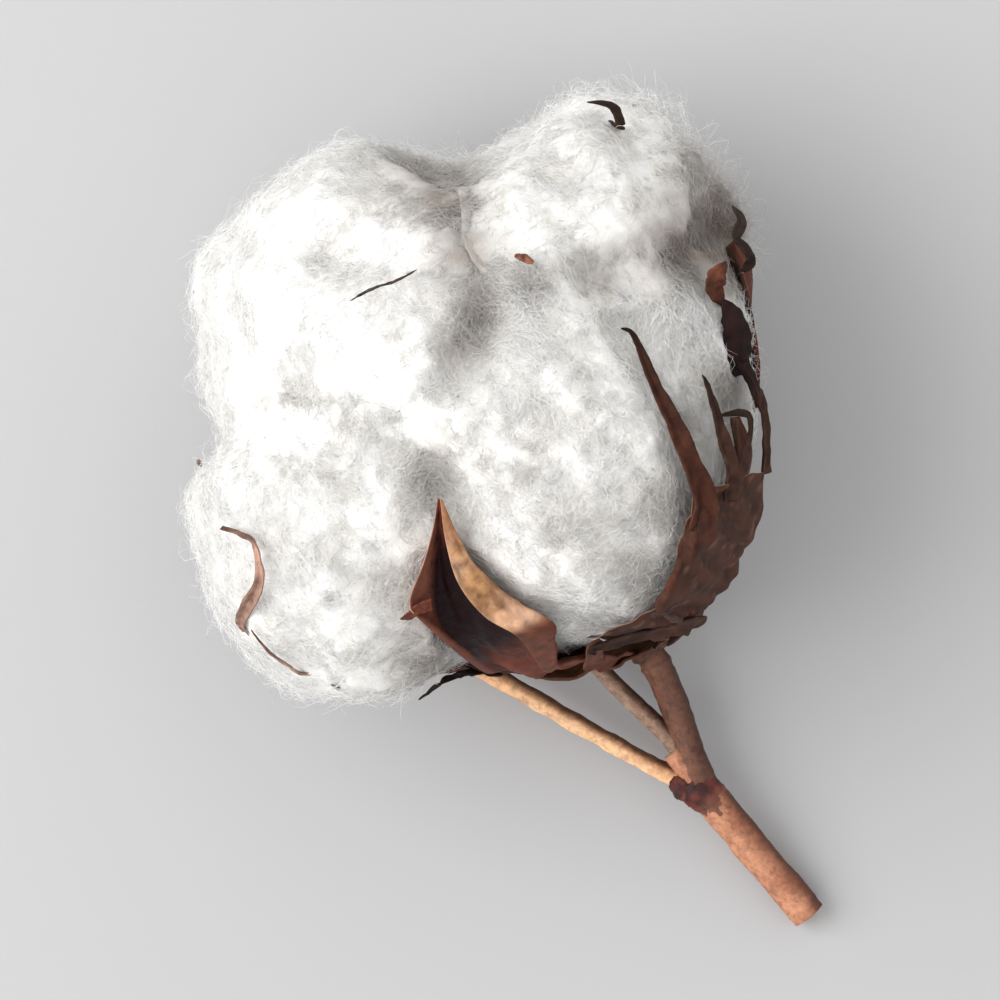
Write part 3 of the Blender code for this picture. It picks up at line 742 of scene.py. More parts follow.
def make_calyx():
    rows, cols = 26, 121
    ph = np.linspace(0, 360.0, cols)
    s = np.linspace(0, 1, rows)
    tooth = 0.5 + 0.5 * np.cos(np.radians(5 * (ph - 14.0)))
    reach = 17.0 + 7.0 * tooth ** 1.4 + 1.0 * np.sin(np.radians(ph * 2 + 30))
    th = 1.5 + (reach[None, :] - 1.5) * s[:, None]
    d = polar(th, np.broadcast_to(ph, th.shape))
    level = 2.2 + 0.5 * s[:, None] ** 2 + 0.15 * np.sin(np.radians(ph * 13))[None, :] * s[:, None]
    r = level_radius(d.reshape(-1, 3), np.broadcast_to(level, th.shape).ravel()).reshape(th.shape)
    g = d * r[..., None]
    g[:, -1] = g[:, 0]
    n = unit(g)
    g = g + n * (0.22 * vnoise(g, 2.0, 31) + 0.1 * vnoise(g, 0.8, 32))[..., None] * s[:, None, None]
    g[:, -1] = g[:, 0]
    patch = 0.5 + 0.5 * vnoise(g, 2.0, 33)
    rib = (0.5 + 0.5 * np.sin(np.radians(ph * 20)))[None, :]
    out = mix(mix(np.array([0.13, 0.034, 0.018]), np.array([0.24, 0.09, 0.05]), patch * 0.8),
              np.array([0.03, 0.01, 0.008]), np.clip(rib * 0.4 + s[:, None] ** 4 * 0.3, 0, 1))
    inn = mix(np.array([0.22, 0.11, 0.06]), np.array([0.10, 0.04, 0.02]), patch)
    ob = closed_grid("calyx", g, 0.35, out, inn, np.array([0.10, 0.05, 0.03]), MAT_CALYX)
    return piece(ob, "calyx", "calyx_cup")


# --------------------------------------------------------------------------
# Bracts
# --------------------------------------------------------------------------
C_BR = np.array([0.064, 0.029, 0.0195])
C_BR_RED = np.array([0.086, 0.028, 0.0165])
C_BR_DARK = np.array([0.018, 0.009, 0.006])
C_BR_PALE = np.array([0.34, 0.20, 0.14])
C_TIP = np.array([0.018, 0.007, 0.005])


def join_sheets(name, sheets, slot, nodes):
    """One piece out of several closed sheets."""
    verts, faces, tints, base = [], [], [], 0
    for ob in sheets:
        me = ob.data
        co = np.empty(len(me.vertices) * 3, np.float32)
        me.vertices.foreach_get("co", co)
        vi = np.empty(len(me.loops), np.int32)
        me.loops.foreach_get("vertex_index", vi)
        tc = np.empty(len(me.vertices) * 4, np.float32)
        me.color_attributes["tint"].data.foreach_get("color", tc)
        verts.append(co.reshape(-1, 3).astype(float) / MM - SHIFT)
        faces.append(vi.reshape(-1, 4).astype(np.int64) + base)
        tints.append(tc.reshape(-1, 4)[:, :3])
        base += len(me.vertices)
        mat = me.materials[0]
        bpy.data.objects.remove(ob, do_unlink=True)
        bpy.data.meshes.remove(me)
    ob = mesh_object(name, np.concatenate(verts), np.concatenate(faces), [mat])
    add_tint(ob, np.concatenate(tints))
    return piece(ob, slot, *nodes)


def tooth(name, points, widths, seed, thick=0.30, keel=0.35, twist=0.0,
          root=C_BR, tip=C_TIP, dark=0.55, rows=60, cols=9, face=0.0, rim=None):
    """A long bract tooth along points; keel folds it along its middle."""
    s = np.linspace(0, 1, rows)
    mid = curve(points, s)
    half = np.maximum(curve(widths, s)[:, 0], 0.05)
    tan = unit(np.gradient(mid, axis=0))
    up = unit(unit(mid) * (1 - face) + np.array([0.0, 0.0, face]))
    side = unit(np.cross(tan, up))
    up = unit(np.cross(side, tan))
    ang = twist * np.sin(s * 5.0 + seed) * s
    side2 = side * np.cos(ang)[:, None] + up * np.sin(ang)[:, None]
    up2 = up * np.cos(ang)[:, None] - side * np.sin(ang)[:, None]
    x = np.linspace(-1, 1, cols)
    wob = 0.10 * np.sin(s * 41 + seed)[:, None] * np.sign(x)[None, :] * (np.abs(x)[None, :] > 0.7)
    g = (mid[:, None, :] + side2[:, None, :] * (half[:, None] * (x[None, :] + wob * 0.5))[..., None]
         + up2[:, None, :] * (half[:, None] * (keel * np.abs(x)[None, :] ** 1.3
                                               + 0.10 * np.sin(s * 23 + seed)[:, None] * x[None, :]))[..., None])
    g = g + up[:, None, :] * (0.10 * vnoise(g, 1.1, seed + 1) + 0.05 * vnoise(g, 0.5, seed + 2))[..., None]
    ss = np.broadcast_to(s[:, None], g.shape[:2])
    f = np.clip((ss - (1 - dark)) / dark, 0, 1)
    vein = np.exp(-(x[None, :] / 0.22) ** 2)
    col = mix(mix(np.broadcast_to(root, g.shape), tip, f), C_BR_DARK, 0.45 * (1 - vein) * (0.4 + 0.6 * f))
    col = col * (1 + 0.45 * vnoise(g, 0.9, seed + 4))[..., None]
    t = thick * (0.5 + 0.5 * np.clip(half / 0.5, 0, 1))[:, None] * np.ones((1, cols))
    t = np.minimum(t, half[:, None] * 1.2)
    return closed_grid(name, g, t, col, col * 0.8, col[:, :] * 1.25 if rim is None else rim, MAT_BRACT)


def blade(name, rails, seed, rows=70, cols=70, thick=0.32, colour=C_BR, red=C_BR_RED,
          rib=46.0, fringe=0.35):
    """Sheet through rails of points from the stalk outwards, ribbed and
    frayed at its far edge."""
    s = np.linspace(0, 1, rows)
    lines = np.stack([curve(r, s) for r in rails], axis=1)
    w = np.linspace(0, 1, cols)
    g = np.stack([curve(lines[i], w) for i in range(rows)])
    n = grid_normals(g)
    ss, ww = np.meshgrid(s, w, indexing="ij")
    ribs = np.sin(ww * rib + 1.4 * np.sin(ss * 4 + seed) + 1.2 * vnoise(g, 5.0, seed + 8))
    net = vnoise(g, 0.8, seed + 3)
    g = g + n * (0.13 * ribs + 0.42 * vnoise(g, 3.6, seed) + 0.16 * vnoise(g, 1.4, seed + 1)
                 + 0.06 * net)[..., None]
    # frayed far edge
    out = unit(np.gradient(g, axis=0))
    fray = fringe * (vnoise(np.stack([ww * 38, ww * 0 + seed, ss * 0], -1), 1.0, seed + 5)
                     + 0.5 * vnoise(np.stack([ww * 90, ww * 0 + seed, ss * 0], -1), 1.0, seed + 6))
    g = g + out * (fray * np.clip((ss - 0.9) / 0.1, 0, 1))[..., None]
    col = mix(mix(np.broadcast_to(colour, g.shape), red, np.clip(0.5 + 0.7 * vnoise(g, 2.4, seed + 7), 0, 1)),
              C_BR_DARK, np.clip(0.30 - 0.30 * ribs + 0.45 * net, 0, 1) * 0.75)
    col = mix(col, C_BR_PALE, np.clip(0.50 * vnoise(g, 1.0, seed + 9) - 0.16, 0, 1))
    edge = np.minimum(ww, 1 - ww)
    t = thick * (0.4 + 0.6 * np.clip(edge / 0.06, 0, 1)) * (0.5 + 0.5 * np.clip((1 - ss) / 0.1, 0, 1))
    return closed_grid(name, g, t, col, col * 0.85 + 0.02, C_BR_PALE * 0.8, MAT_BRACT)


def make_bract_right():
    P = at_polar
    rails = [
        [P(12, 8, 3.3), P(25, 5, 3.0), P(34, 7, 2.8), P(42, 9, 2.6), pl(473.5, 255.0, 2.2)],
        [P(12, 18, 3.3), P(27, 14, 3.0), P(38, 14, 2.7), P(46, 14, 2.5), pl(484.0, 251.0, 2.2)],
        [P(12, 28, 3.3), P(28, 23, 3.0), P(42, 20, 2.7), pl(491.5, 248.5, 2.4), pl(492.5, 243.0, 2.0)],
        [P(12, 38, 3.3), P(29, 31, 3.0), P(44, 26, 2.6), pl(498.5, 240.0, 2.4), pl(496.5, 230.5, 1.8)],
        [P(12, 47, 3.3), P(29, 39, 3.0), P(46, 32, 2.6), pl(502.5, 232.0, 2.3), pl(500.5, 219.5, 1.7)],
        [P(12, 56, 3.3), P(29, 47, 3.0), P(47, 39, 2.5), P(57, 36, 2.3), pl(506.0, 218.0, 1.8)],
        [P(12, 66, 3.3), P(28, 56, 3.0), P(46, 49, 2.4), P(57, 46, 2.2), P(66, 45, 2.0)],
    ]
    sheets = [blade("br_blade", rails, 61)]
    t1 = [pl(499.0, 229.0, 2.0), pl(501.0, 222.0, 2.1), pl(498.0, 213.2, 2.0), pl(493.9, 203.2, 1.8),
          pl(490.0, 195.4, 1.5), pl(486.4, 186.8, 1.2), pl(484.0, 182.2, 1.3), pl(481.8, 181.2, 1.7)]
    sheets.append(tooth("br_t1", t1, [1.6, 1.4, 1.05, 0.80, 0.56, 0.36, 0.22, 0.07], 62,
                        keel=0.45, twist=0.5, root=C_BR_RED * 0.85, dark=0.72))
    t2 = [pl(507.0, 222.0, 1.9), pl(507.6, 214.0, 1.9), pl(505.4, 206.0, 1.8), pl(503.6, 199.5, 1.6),
          pl(502.0, 194.6, 1.5), pl(501.0, 192.2, 1.8)]
    sheets.append(tooth("br_t2", t2, [1.0, 0.85, 0.62, 0.45, 0.30, 0.08], 63, keel=0.5,
                        twist=0.4, dark=0.75))
    t3 = [pl(508.5, 221.0, 1.7), pl(510.6, 213.0, 1.7), pl(512.4, 206.5, 1.7), pl(512.2, 202.0, 1.8),
          pl(509.5, 201.2, 2.0), pl(505.8, 201.7, 2.0)]
    sheets.append(tooth("br_t3", t3, [0.9, 0.62, 0.48, 0.40, 0.32, 0.10], 64, keel=0.3,
                        twist=0.6, dark=0.8))
    t4 = [P(64, 46, 1.9), P(72, 50, 1.8), P(79, 52, 1.9), pl(514.8, 199.5, 2.2), pl(513.6, 193.5, 1.7),
          pl(511.4, 189.4, 1.4)]
    sheets.append(tooth("br_t4", t4, [1.0, 0.8, 0.65, 0.62, 0.45, 0.12], 65, keel=0.4,
                        twist=0.5, dark=0.7))
    sheets.append(tooth("br_t0", [P(40, 11, 2.7), P(47, 14, 2.5), pl(476.5, 256.5, 2.3), pl(475.6, 258.8, 2.9)],
                        [1.6, 1.2, 0.6, 0.08], 66, keel=0.3, dark=0.6))
    return join_sheets("bract_leaf_right", sheets, "bract", ["bract_right"])


def make_bract_left():
    P = at_polar
    rails = [
        [P(12, -98, 3.2), P(26, -99, 2.4), P(38, -98, 1.7), P(48, -97, 1.3), P(56, -96, 1.1)],
        [P(12, -88, 3.2), P(28, -90, 2.4), P(42, -90, 1.6), P(54, -89, 1.2), P(64, -88, 1.0)],
        [P(12, -79, 3.2), P(28, -81, 2.5), P(42, -82, 1.6), P(54, -82, 1.1), P(64, -81, 0.9)],
        [P(12, -70, 3.2), P(28, -73, 2.5), P(40, -74, 1.7), P(51, -74, 1.1), P(60, -73, 0.8)],
        [P(12, -61, 3.2), P(23, -65, 2.4), P(32, -66, 1.5), P(39, -66, 0.8), P(45, -65, 0.4)],
        [P(12, -53, 3.2), P(22, -56, 2.4), P(29, -57, 1.6), P(35, -57, 0.9), P(40, -56, 0.5)],
    ]
    sheets = [blade("bl_blade", rails, 71, thick=0.3)]
    pale = np.array([0.43, 0.265, 0.205])
    hook = [P(62, -83, 0.2), P(74, -82, -0.9), pl(391.6, 252.0, -0.9), pl(393.0, 246.6, 0.45),
            pl(395.8, 241.5, 0.6), pl(396.0, 236.5, 0.65), pl(394.6, 231.6, 0.75), pl(391.2, 229.4, 0.9),
            pl(387.0, 228.2, 1.2)]
    sheets.append(tooth("bl_hook", hook, [0.7, 0.5, 0.42, 0.66, 0.50, 0.36, 0.40, 0.52, 0.34], 72,
                        keel=0.7, twist=1.2, thick=0.22, root=pale, tip=np.array([0.21, 0.105, 0.073]),
                        dark=0.3, rows=110, rim=np.array([0.20, 0.11, 0.08])))
    line = [pl(410.0, 262.0, -1.0), pl(406.4, 263.2, -0.3), pl(402.6, 261.4, 0.5),
            pl(397.6, 257.6, 0.55), pl(393.8, 252.8, 0.6)]
    sheets.append(tooth("bl_line", line, [0.2, 0.30, 0.28, 0.24, 0.07], 73, keel=0.6,
                        twist=0.8, thick=0.2, root=pale, tip=np.array([0.22, 0.12, 0.08]), dark=0.6))
    sheets.append(tooth("bl_back", [P(50, -95, 1.2), P(60, -96, 1.0), P(70, -97, 0.8), P(76, -97, 1.0)],
                        [1.5, 1.1, 0.6, 0.08], 74, keel=0.4))
    sheets.append(tooth("bl_low", [P(34, -60, 1.5), P(42, -59, 0.9), pl(440.0, 265.0, 0.7), pl(433.6, 269.8, 0.8)],
                        [1.2, 0.8, 0.42, 0.08], 75, keel=0.2, root=C_BR_DARK, dark=0.8))
    return join_sheets("bract_leaf_left", sheets, "bract", ["bract_left"])


def make_bract_back():
    P = at_polar
    rails = [
        [P(12, 108, 3.3), P(24, 110, 2.9), P(33, 111, 2.6), P(40, 112, 2.4)],
        [P(12, 121, 3.3), P(26, 121, 2.9), P(38, 121, 2.6), P(47, 121, 2.4)],
        [P(12, 135, 3.3), P(25, 134, 2.9), P(35, 133, 2.6), P(43, 132, 2.4)],
        [P(12, 149, 3.3), P(25, 148, 2.9), P(34, 147, 2.6), P(42, 146, 2.4)],
        [P(12, 162, 3.3), P(23, 160, 2.9), P(31, 158, 2.6), P(37, 157, 2.4)],
    ]
    sheets = [blade("bb_blade", rails, 81)]
    tip = [P(42, 117, 2.5), P(62, 122, 1.2), P(82, 126, -0.8), P(98, 125, -1.6), P(110, 120, -1.6),
           pl(481.6, 132.6, -0.6), pl(481.0, 129.2, 0.5), pl(479.0, 127.2, 0.9), pl(474.0, 126.4, 1.1)]
    sheets.append(tooth("bb_hook", tip, [1.7, 1.2, 0.9, 0.6, 0.45, 0.42, 0.50, 0.46, 0.10], 82,
                        keel=0.2, twist=0.2, dark=0.8, rows=120, thick=0.4, face=0.3))
    for k, (ph, end) in enumerate(((126, 60), (137, 55), (150, 51))):
        sheets.append(tooth("bb_t%d" % k, [P(38, ph, 2.6), P(46, ph + 1, 2.3), P(end, ph, 2.4)],
                            [1.6, 1.0, 0.08], 83 + k, keel=0.35))
    return join_sheets("bract_leaf_back", sheets, "bract", ["bract_back"])


def make_front_teeth():
    """Hooked side tooth of the front valve, and a torn calyx tooth by it."""
    sheets = [
        tooth("ft_side", [pl(436.5, 246.5, 0.6), pl(433.4, 247.8, 1.3), pl(431.4, 249.4, 1.5), pl(429.4, 250.2, 1.3)],
              [0.55, 0.42, 0.30, 0.06], 101, keel=0.3, thick=0.35, face=0.5,
              root=np.array([0.17, 0.05, 0.03]), tip=np.array([0.12, 0.04, 0.025]), dark=0.5),
        tooth("ft_calyx", [at_polar(14, -12, 2.3), at_polar(28, -14, 1.9), at_polar(40, -14, 1.6),
                           at_polar(46, -13, 1.7), pl(475.6, 255.8, 1.8), pl(477.0, 259.4, 2.2)],
              [1.7, 1.5, 1.2, 1.0, 0.7, 0.06], 102, keel=0.3, thick=0.35, face=0.3,
              root=np.array([0.13, 0.04, 0.025]), tip=np.array([0.20, 0.08, 0.05]), dark=0.5),
    ]
    return join_sheets("bur_front_teeth", sheets, "bur", [])


def make_dark_leaves():
    """Torn edge of the upper right valve where it stands out of the lint; its near-black is partly the bur's dark
    skin and partly painted shade.
    """
    dark_skin_and_shade = np.array([0.016, 0.0055, 0.0055])
    sheets = []

    def at(x, y, z):
        X, Y = px(x, y)
        return np.array([X, Y, z])
    z0 = pl(507.0, 182.0, 0.2)[2]
    leaf = [at(510.5, 191.5, z0 - 4.0), at(510.8, 187.5, z0 - 2.0), at(510.2, 182.5, z0 - 1.0),
            at(508.6, 177.8, z0 - 0.4), at(506.2, 174.0, z0 + 0.2)]
    sheets.append(tooth("ur_leaf", leaf, [1.0, 1.35, 1.50, 1.05, 0.12], 91, keel=-0.25, thick=0.45,
                        root=dark_skin_and_shade, tip=dark_skin_and_shade * 1.5, dark=0.5, face=0.55, cols=15))
    # its lower lobe runs on down the edge to the bract's last tooth
    low = [at(509.6, 187.0, z0 - 2.4), at(511.6, 190.6, z0 - 3.0), at(513.6, 194.5, z0 - 3.4),
           at(515.2, 199.2, z0 - 3.6)]
    sheets.append(tooth("ur_low", low, [0.9, 0.62, 0.50, 0.42], 94, keel=0.2, thick=0.45,
                        root=dark_skin_and_shade, tip=np.array([0.045, 0.020, 0.015]), dark=0.5, face=0.5))
    z1 = pl(504.5, 169.0, 0.6)[2]
    red = [at(506.2, 174.8, z1 - 1.6), at(504.2, 171.6, z1 - 0.2), at(504.6, 168.4, z1 + 0.4),
           at(507.0, 165.0, z1 + 0.6)]
    sheets.append(tooth("ur_red", red, [0.35, 1.05, 0.95, 0.10], 92, keel=0.25, thick=0.35,
                        root=np.array([0.10, 0.030, 0.017]), tip=np.array([0.16, 0.055, 0.030]), dark=0.8,
                        face=0.5))
    z2 = pl(510.0, 163.0, 0.4)[2]
    arc = [at(511.4, 167.0, z2 - 0.6), at(513.0, 164.4, z2 - 0.4), at(511.6, 161.4, z2),
           at(509.4, 159.0, z2 + 0.4), at(510.8, 155.0, z2 - 0.8), at(508.8, 151.4, z2 - 0.4)]
    sheets.append(tooth("ur_arc", arc, [0.25, 0.55, 0.45, 0.42, 0.55, 0.1], 93, keel=0.3, thick=0.3,
                        root=np.array([0.022, 0.013, 0.010]), tip=np.array([0.060, 0.042, 0.034]), dark=0.7,
                        face=0.4))
    for o in sheets:
        o.data.materials[0] = MAT_BUR
    return join_sheets("bur_edge_upper_right", sheets, "bur", [])


# --------------------------------------------------------------------------
# Twig
# --------------------------------------------------------------------------
FLOOR = -REST
FORK = np.array([23.6, -40.6, FLOOR + 4.6])
TWIG_END = np.array([34.6, -53.8, FLOOR + 1.82])


def tube(points, radii, rows, sides=40, seed=0, oval=0.06):
    s = np.linspace(0, 1, rows)
    mid = curve(points, s)
    r = curve(radii, s)[:, 0]
    tan = unit(np.gradient(mid, axis=0))
    x = unit(np.array([0.0, 0.0, 1.0]) - tan[:, 2:3] * tan)
    y = np.cross(tan, x)
    a = np.linspace(0, 2 * math.pi, sides, endpoint=False)
    rr = r[:, None] * (1 + oval * np.cos(2 * a[None, :] + seed) + 0.035 * np.cos(5 * a[None, :] + s[:, None] * 4 + seed))
    p = mid[:, None, :] + rr[..., None] * (np.cos(a)[None, :, None] * x[:, None, :]
                                           + np.sin(a)[None, :, None] * y[:, None, :])
    n = unit(p - mid[:, None, :])
    return p, n, s, a, mid


def bark(p, n, s, seed, ridge=0.05, knob=None):
    """Fine lengthwise ridges, small pits and a few swellings."""
    along = s[:, None] * np.ones((1, p.shape[1]))
    ang = np.arange(p.shape[1])[None, :] / p.shape[1] * 2 * math.pi * np.ones((len(s), 1))
    q = np.stack([np.cos(ang) * 2.2, np.sin(ang) * 2.2, along * 9.0], -1)
    h = ridge * (vnoise(q, 0.55, seed) + 0.6 * vnoise(q * np.array([1, 1, 4.0]), 0.35, seed + 1))
    h = h + 0.10 * vnoise(p, 2.4, seed + 2) + 0.045 * vnoise(p, 0.7, seed + 3)
    if knob is not None:
        for at, wide, high in knob:
            h = h + high * np.exp(-((along - at) / wide) ** 2)
    return p + n * h[..., None], h


def closed_tube(name, p, col, mat):
    rows, sides, _ = p.shape
    idx = np.arange(rows * sides).reshape(rows, sides)
    a, b = idx[:-1], np.roll(idx, -1, 1)[:-1]
    c, d = np.roll(idx, -1, 1)[1:], idx[1:]
    quads = np.stack([a.ravel(), b.ravel(), c.ravel(), d.ravel()], 1)
    v = p.reshape(-1, 3)
    # stepped round ends: two inner rings and a middle point, as quads
    caps_v, caps_f, caps_c = [], [], []
    base = rows * sides
    for end, order in ((0, -1), (rows - 1, 1)):
        ring = idx[end]
        mid = p[end].mean(0)
        push = unit(p[end].mean(0) - p[end + (1 if end == 0 else -1)].mean(0))
        prev = ring
        for k, (f, lift) in enumerate(((0.86, 0.05), (0.5, 0.09), (0.12, 0.04))):
            q = mid + (p[end] - mid) * f + push * lift
            q = q + push * 0.05 * vnoise(q, 0.5, 7)[:, None]
            caps_v.append(q)
            caps_c.append(np.broadcast_to(CUT[k], (sides, 3)))
            new = np.arange(sides) + base
            base += sides
            f4 = np.stack([prev, np.roll(prev, -1), np.roll(new, -1), new], 1)
            caps_f.append(f4 if order > 0 else f4[:, ::-1])
            prev = new
        # close the last small ring with quads across it
        h = sides // 2
        for k in range(h - 1):
            f4 = np.array([[prev[k], prev[k + 1], prev[sides - k - 2], prev[sides - k - 1]]])
            caps_f.append(f4[:, ::-1] if order < 0 else f4)
    faces = np.concatenate([quads[:, ::1]] + caps_f)
    verts = np.concatenate([v] + caps_v)
    # outward faces
    f0 = quads[len(quads) // 2]
    nrm = np.cross(verts[f0[1]] - verts[f0[0]], verts[f0[3]] - verts[f0[0]])
    cen = p[rows // 2].mean(0)
    if nrm @ (verts[f0[0]] - cen) < 0:
        faces = faces[:, ::-1].copy()
    ob = mesh_object(name, verts, faces, [mat])
    add_tint(ob, np.concatenate([col.reshape(-1, 3)] + caps_c))
    return ob


CUT = [np.array([0.46, 0.30, 0.20]), np.array([0.55, 0.40, 0.28]), np.array([0.30, 0.19, 0.12])]


def twig_colour(p, n, h, base, light, dark, seed, side=(-0.7, -0.3, 0.6)):
    """Painted light: paler along the side that faces the side direction, towards the lamp, broken by random mottling;
    darker in the cracks.
    """
    painted_lit_side = np.clip(0.5 + 0.5 * (n @ unit(np.array(side))), 0, 1)
    c = mix(np.broadcast_to(base, p.shape), light,
            np.clip(painted_lit_side ** 1.6 * 0.75 + 0.35 * vnoise(p, 2.1, seed), 0, 1))
    c = mix(c, dark, np.clip(0.06 - 3.0 * h + 0.35 * vnoise(p, 0.9, seed + 1), 0, 1) * 0.7)
    c = mix(c, light * 1.12, (vnoise(p, 0.38, seed + 2) > 0.70) * 0.3)
    return np.clip(c, 0.004, 0.9)


def make_twig():
    top = -(level_radius([-U], 2.6)[0]) * U
    flare, out = top - 0.9 * U, top - 3.0 * U
    bend = np.array([18.6, -27.4, FLOOR + 6.2])
    kink = np.array([21.2, -33.8, FLOOR + 5.3])
    sheets = []
    # stalk of the boll, to the fork
    p, n, s, a, mid = tube([top, flare, out, bend, kink, FORK, FORK + 0.45 * (TWIG_END - FORK)],
                           [2.5, 2.05, 1.55, 1.62, 1.50, 1.75, 1.2], 220, seed=1)
    p, h = bark(p, n, s, 11, 0.06, [(0.40, 0.020, 0.28), (0.50, 0.012, 0.16), (0.30, 0.03, 0.15)])
    c = twig_colour(p, n, h, np.array([0.095, 0.037, 0.023]), np.array([0.21, 0.093, 0.058]),
                    np.array([0.026, 0.010, 0.007]), 12)
    # painted shade down the side away from the lamp
    rim = np.clip(n @ unit(np.array([0.85, 0.35, 0.10])), 0, 1) ** 2.0
    c = mix(c, np.array([0.030, 0.012, 0.008]), rim * 0.7)
    f = np.clip((s - 0.42) / 0.06, 0, 1)[:, None] * np.ones((1, p.shape[1]))
    c = mix(np.array([0.075, 0.032, 0.021]) * (1 + 0.5 * vnoise(p, 0.7, 14))[..., None], c, f)
    sheets.append(closed_tube("tw_stalk", p, c, MAT_TWIG))
    # twig below the fork
    p, n, s, a, mid = tube([FORK - 0.30 * (TWIG_END - FORK), FORK, FORK + 0.5 * (TWIG_END - FORK), TWIG_END],
                           [1.1, 1.78, 1.80, 1.80], 170, seed=2, oval=0.04)
    p, h = bark(p, n, s, 21, 0.05)
    p[..., 2] = np.maximum(p[..., 2], FLOOR + 0.02)
    c = twig_colour(p, n, h, np.array([0.33, 0.120, 0.062]), np.array([0.60, 0.285, 0.165]),
                    np.array([0.19, 0.065, 0.036]), 22, side=(-0.75, -0.55, 0.45))
    # painted shade down the side away from the lamp
    rim = np.clip(n @ unit(np.array([0.80, 0.60, 0.10])), 0, 1) ** 1.5
    c = mix(c, np.array([0.075, 0.026, 0.016]), np.clip(rim * 1.1, 0, 0.92))
    sheets.append(closed_tube("tw_twig", p, c, MAT_TWIG))
    # left bare stalk: yellow-tan, with painted shade down its right side
    fork_left = FORK + np.array([-0.7, 0.6, 0.0])
    p, n, s, a, mid = tube([fork_left + 0.10 * (FORK - fork_left), np.array([19.0, -38.6, FLOOR + 4.4]),
                            np.array([10.0, -33.6, FLOOR + 4.8]), np.array([-1.5, -26.9, FLOOR + 5.6])],
                           [1.25, 0.98, 0.95, 0.98], 190, seed=3)
    p, h = bark(p, n, s, 31, 0.035, [(0.08, 0.02, 0.15), (0.55, 0.02, 0.06)])
    c = twig_colour(p, n, h, np.array([0.66, 0.315, 0.150]), np.array([0.93, 0.58, 0.335]),
                    np.array([0.36, 0.17, 0.09]), 32, side=(-0.6, -0.6, 0.5))
    # painted shade down the side away from the lamp
    rim = np.clip(n @ unit(np.array([0.55, 0.80, 0.25])), 0, 1) ** 1.6
    c = mix(c, np.array([0.085, 0.038, 0.022]), np.clip(rim * 1.1, 0, 0.95))
    sheets.append(closed_tube("tw_left", p, c, MAT_TWIG))
    # middle bare stalk: grey-brown
    p, n, s, a, mid = tube([FORK + np.array([-0.3, 1.0, 0.4]), np.array([19.6, -34.9, FLOOR + 4.6]),
                            np.array([14.5, -29.9, FLOOR + 4.2]), np.array([8.2, -23.4, FLOOR + 3.6])],
                           [1.2, 0.92, 0.90, 0.95], 150, seed=4)
    p, h = bark(p, n, s, 41, 0.04, [(0.07, 0.03, 0.18)])
    c = twig_colour(p, n, h, np.array([0.200, 0.105, 0.068]), np.array([0.42, 0.28, 0.20]),
                    np.array([0.055, 0.026, 0.017]), 42, side=(-0.6, -0.5, 0.5))
    # painted shade down the side away from the lamp
    rim = np.clip(n @ unit(np.array([0.65, 0.70, 0.20])), 0, 1) ** 1.6
    c = mix(c, np.array([0.045, 0.021, 0.014]), np.clip(rim * 1.1, 0, 0.92))
    sheets.append(closed_tube("tw_mid", p, c, MAT_TWIG))
    # knobby dark red collar where the stalks join
    for k, (off, r, seed) in enumerate(((np.array([-2.1, 0.2, 0.1]), 1.35, 51),
                                        (np.array([-0.7, 1.5, 0.2]), 1.25, 52),
                                        (np.array([-0.2, -0.2, 0.2]), 1.9, 53))):
        axis = unit(np.array([0.72, -0.66, -0.1]))
        c0 = FORK + off
        pts = [c0 - axis * r * 1.25, c0 - axis * r * 0.8, c0, c0 + axis * r * 0.9, c0 + axis * r * 1.7]
        p, n, s, a, mid = tube(pts, [0.35 * r, 0.85 * r, 1.03 * r, 0.9 * r, 0.55 * r], 60, 40, seed=seed)
        p, h = bark(p, n, s, seed, 0.09)
        p = p + n * (0.14 * vnoise(p, 0.9, seed + 9))[..., None]
        c = mix(np.broadcast_to(np.array([0.135, 0.028, 0.020]), p.shape), np.array([0.040, 0.012, 0.010]),
                np.clip(0.5 + 0.9 * vnoise(p, 0.9, seed + 4), 0, 1))
        f = np.clip((s - 0.55) / 0.35, 0, 1)[:, None] * np.ones((1, p.shape[1]))
        c = mix(c, np.array([0.26, 0.105, 0.063]), f)
        sheets.append(closed_tube("tw_collar%d" % k, p, c, MAT_TWIG))
    return join_sheets("twig_bark", sheets, "twig", ["forked_twig"])


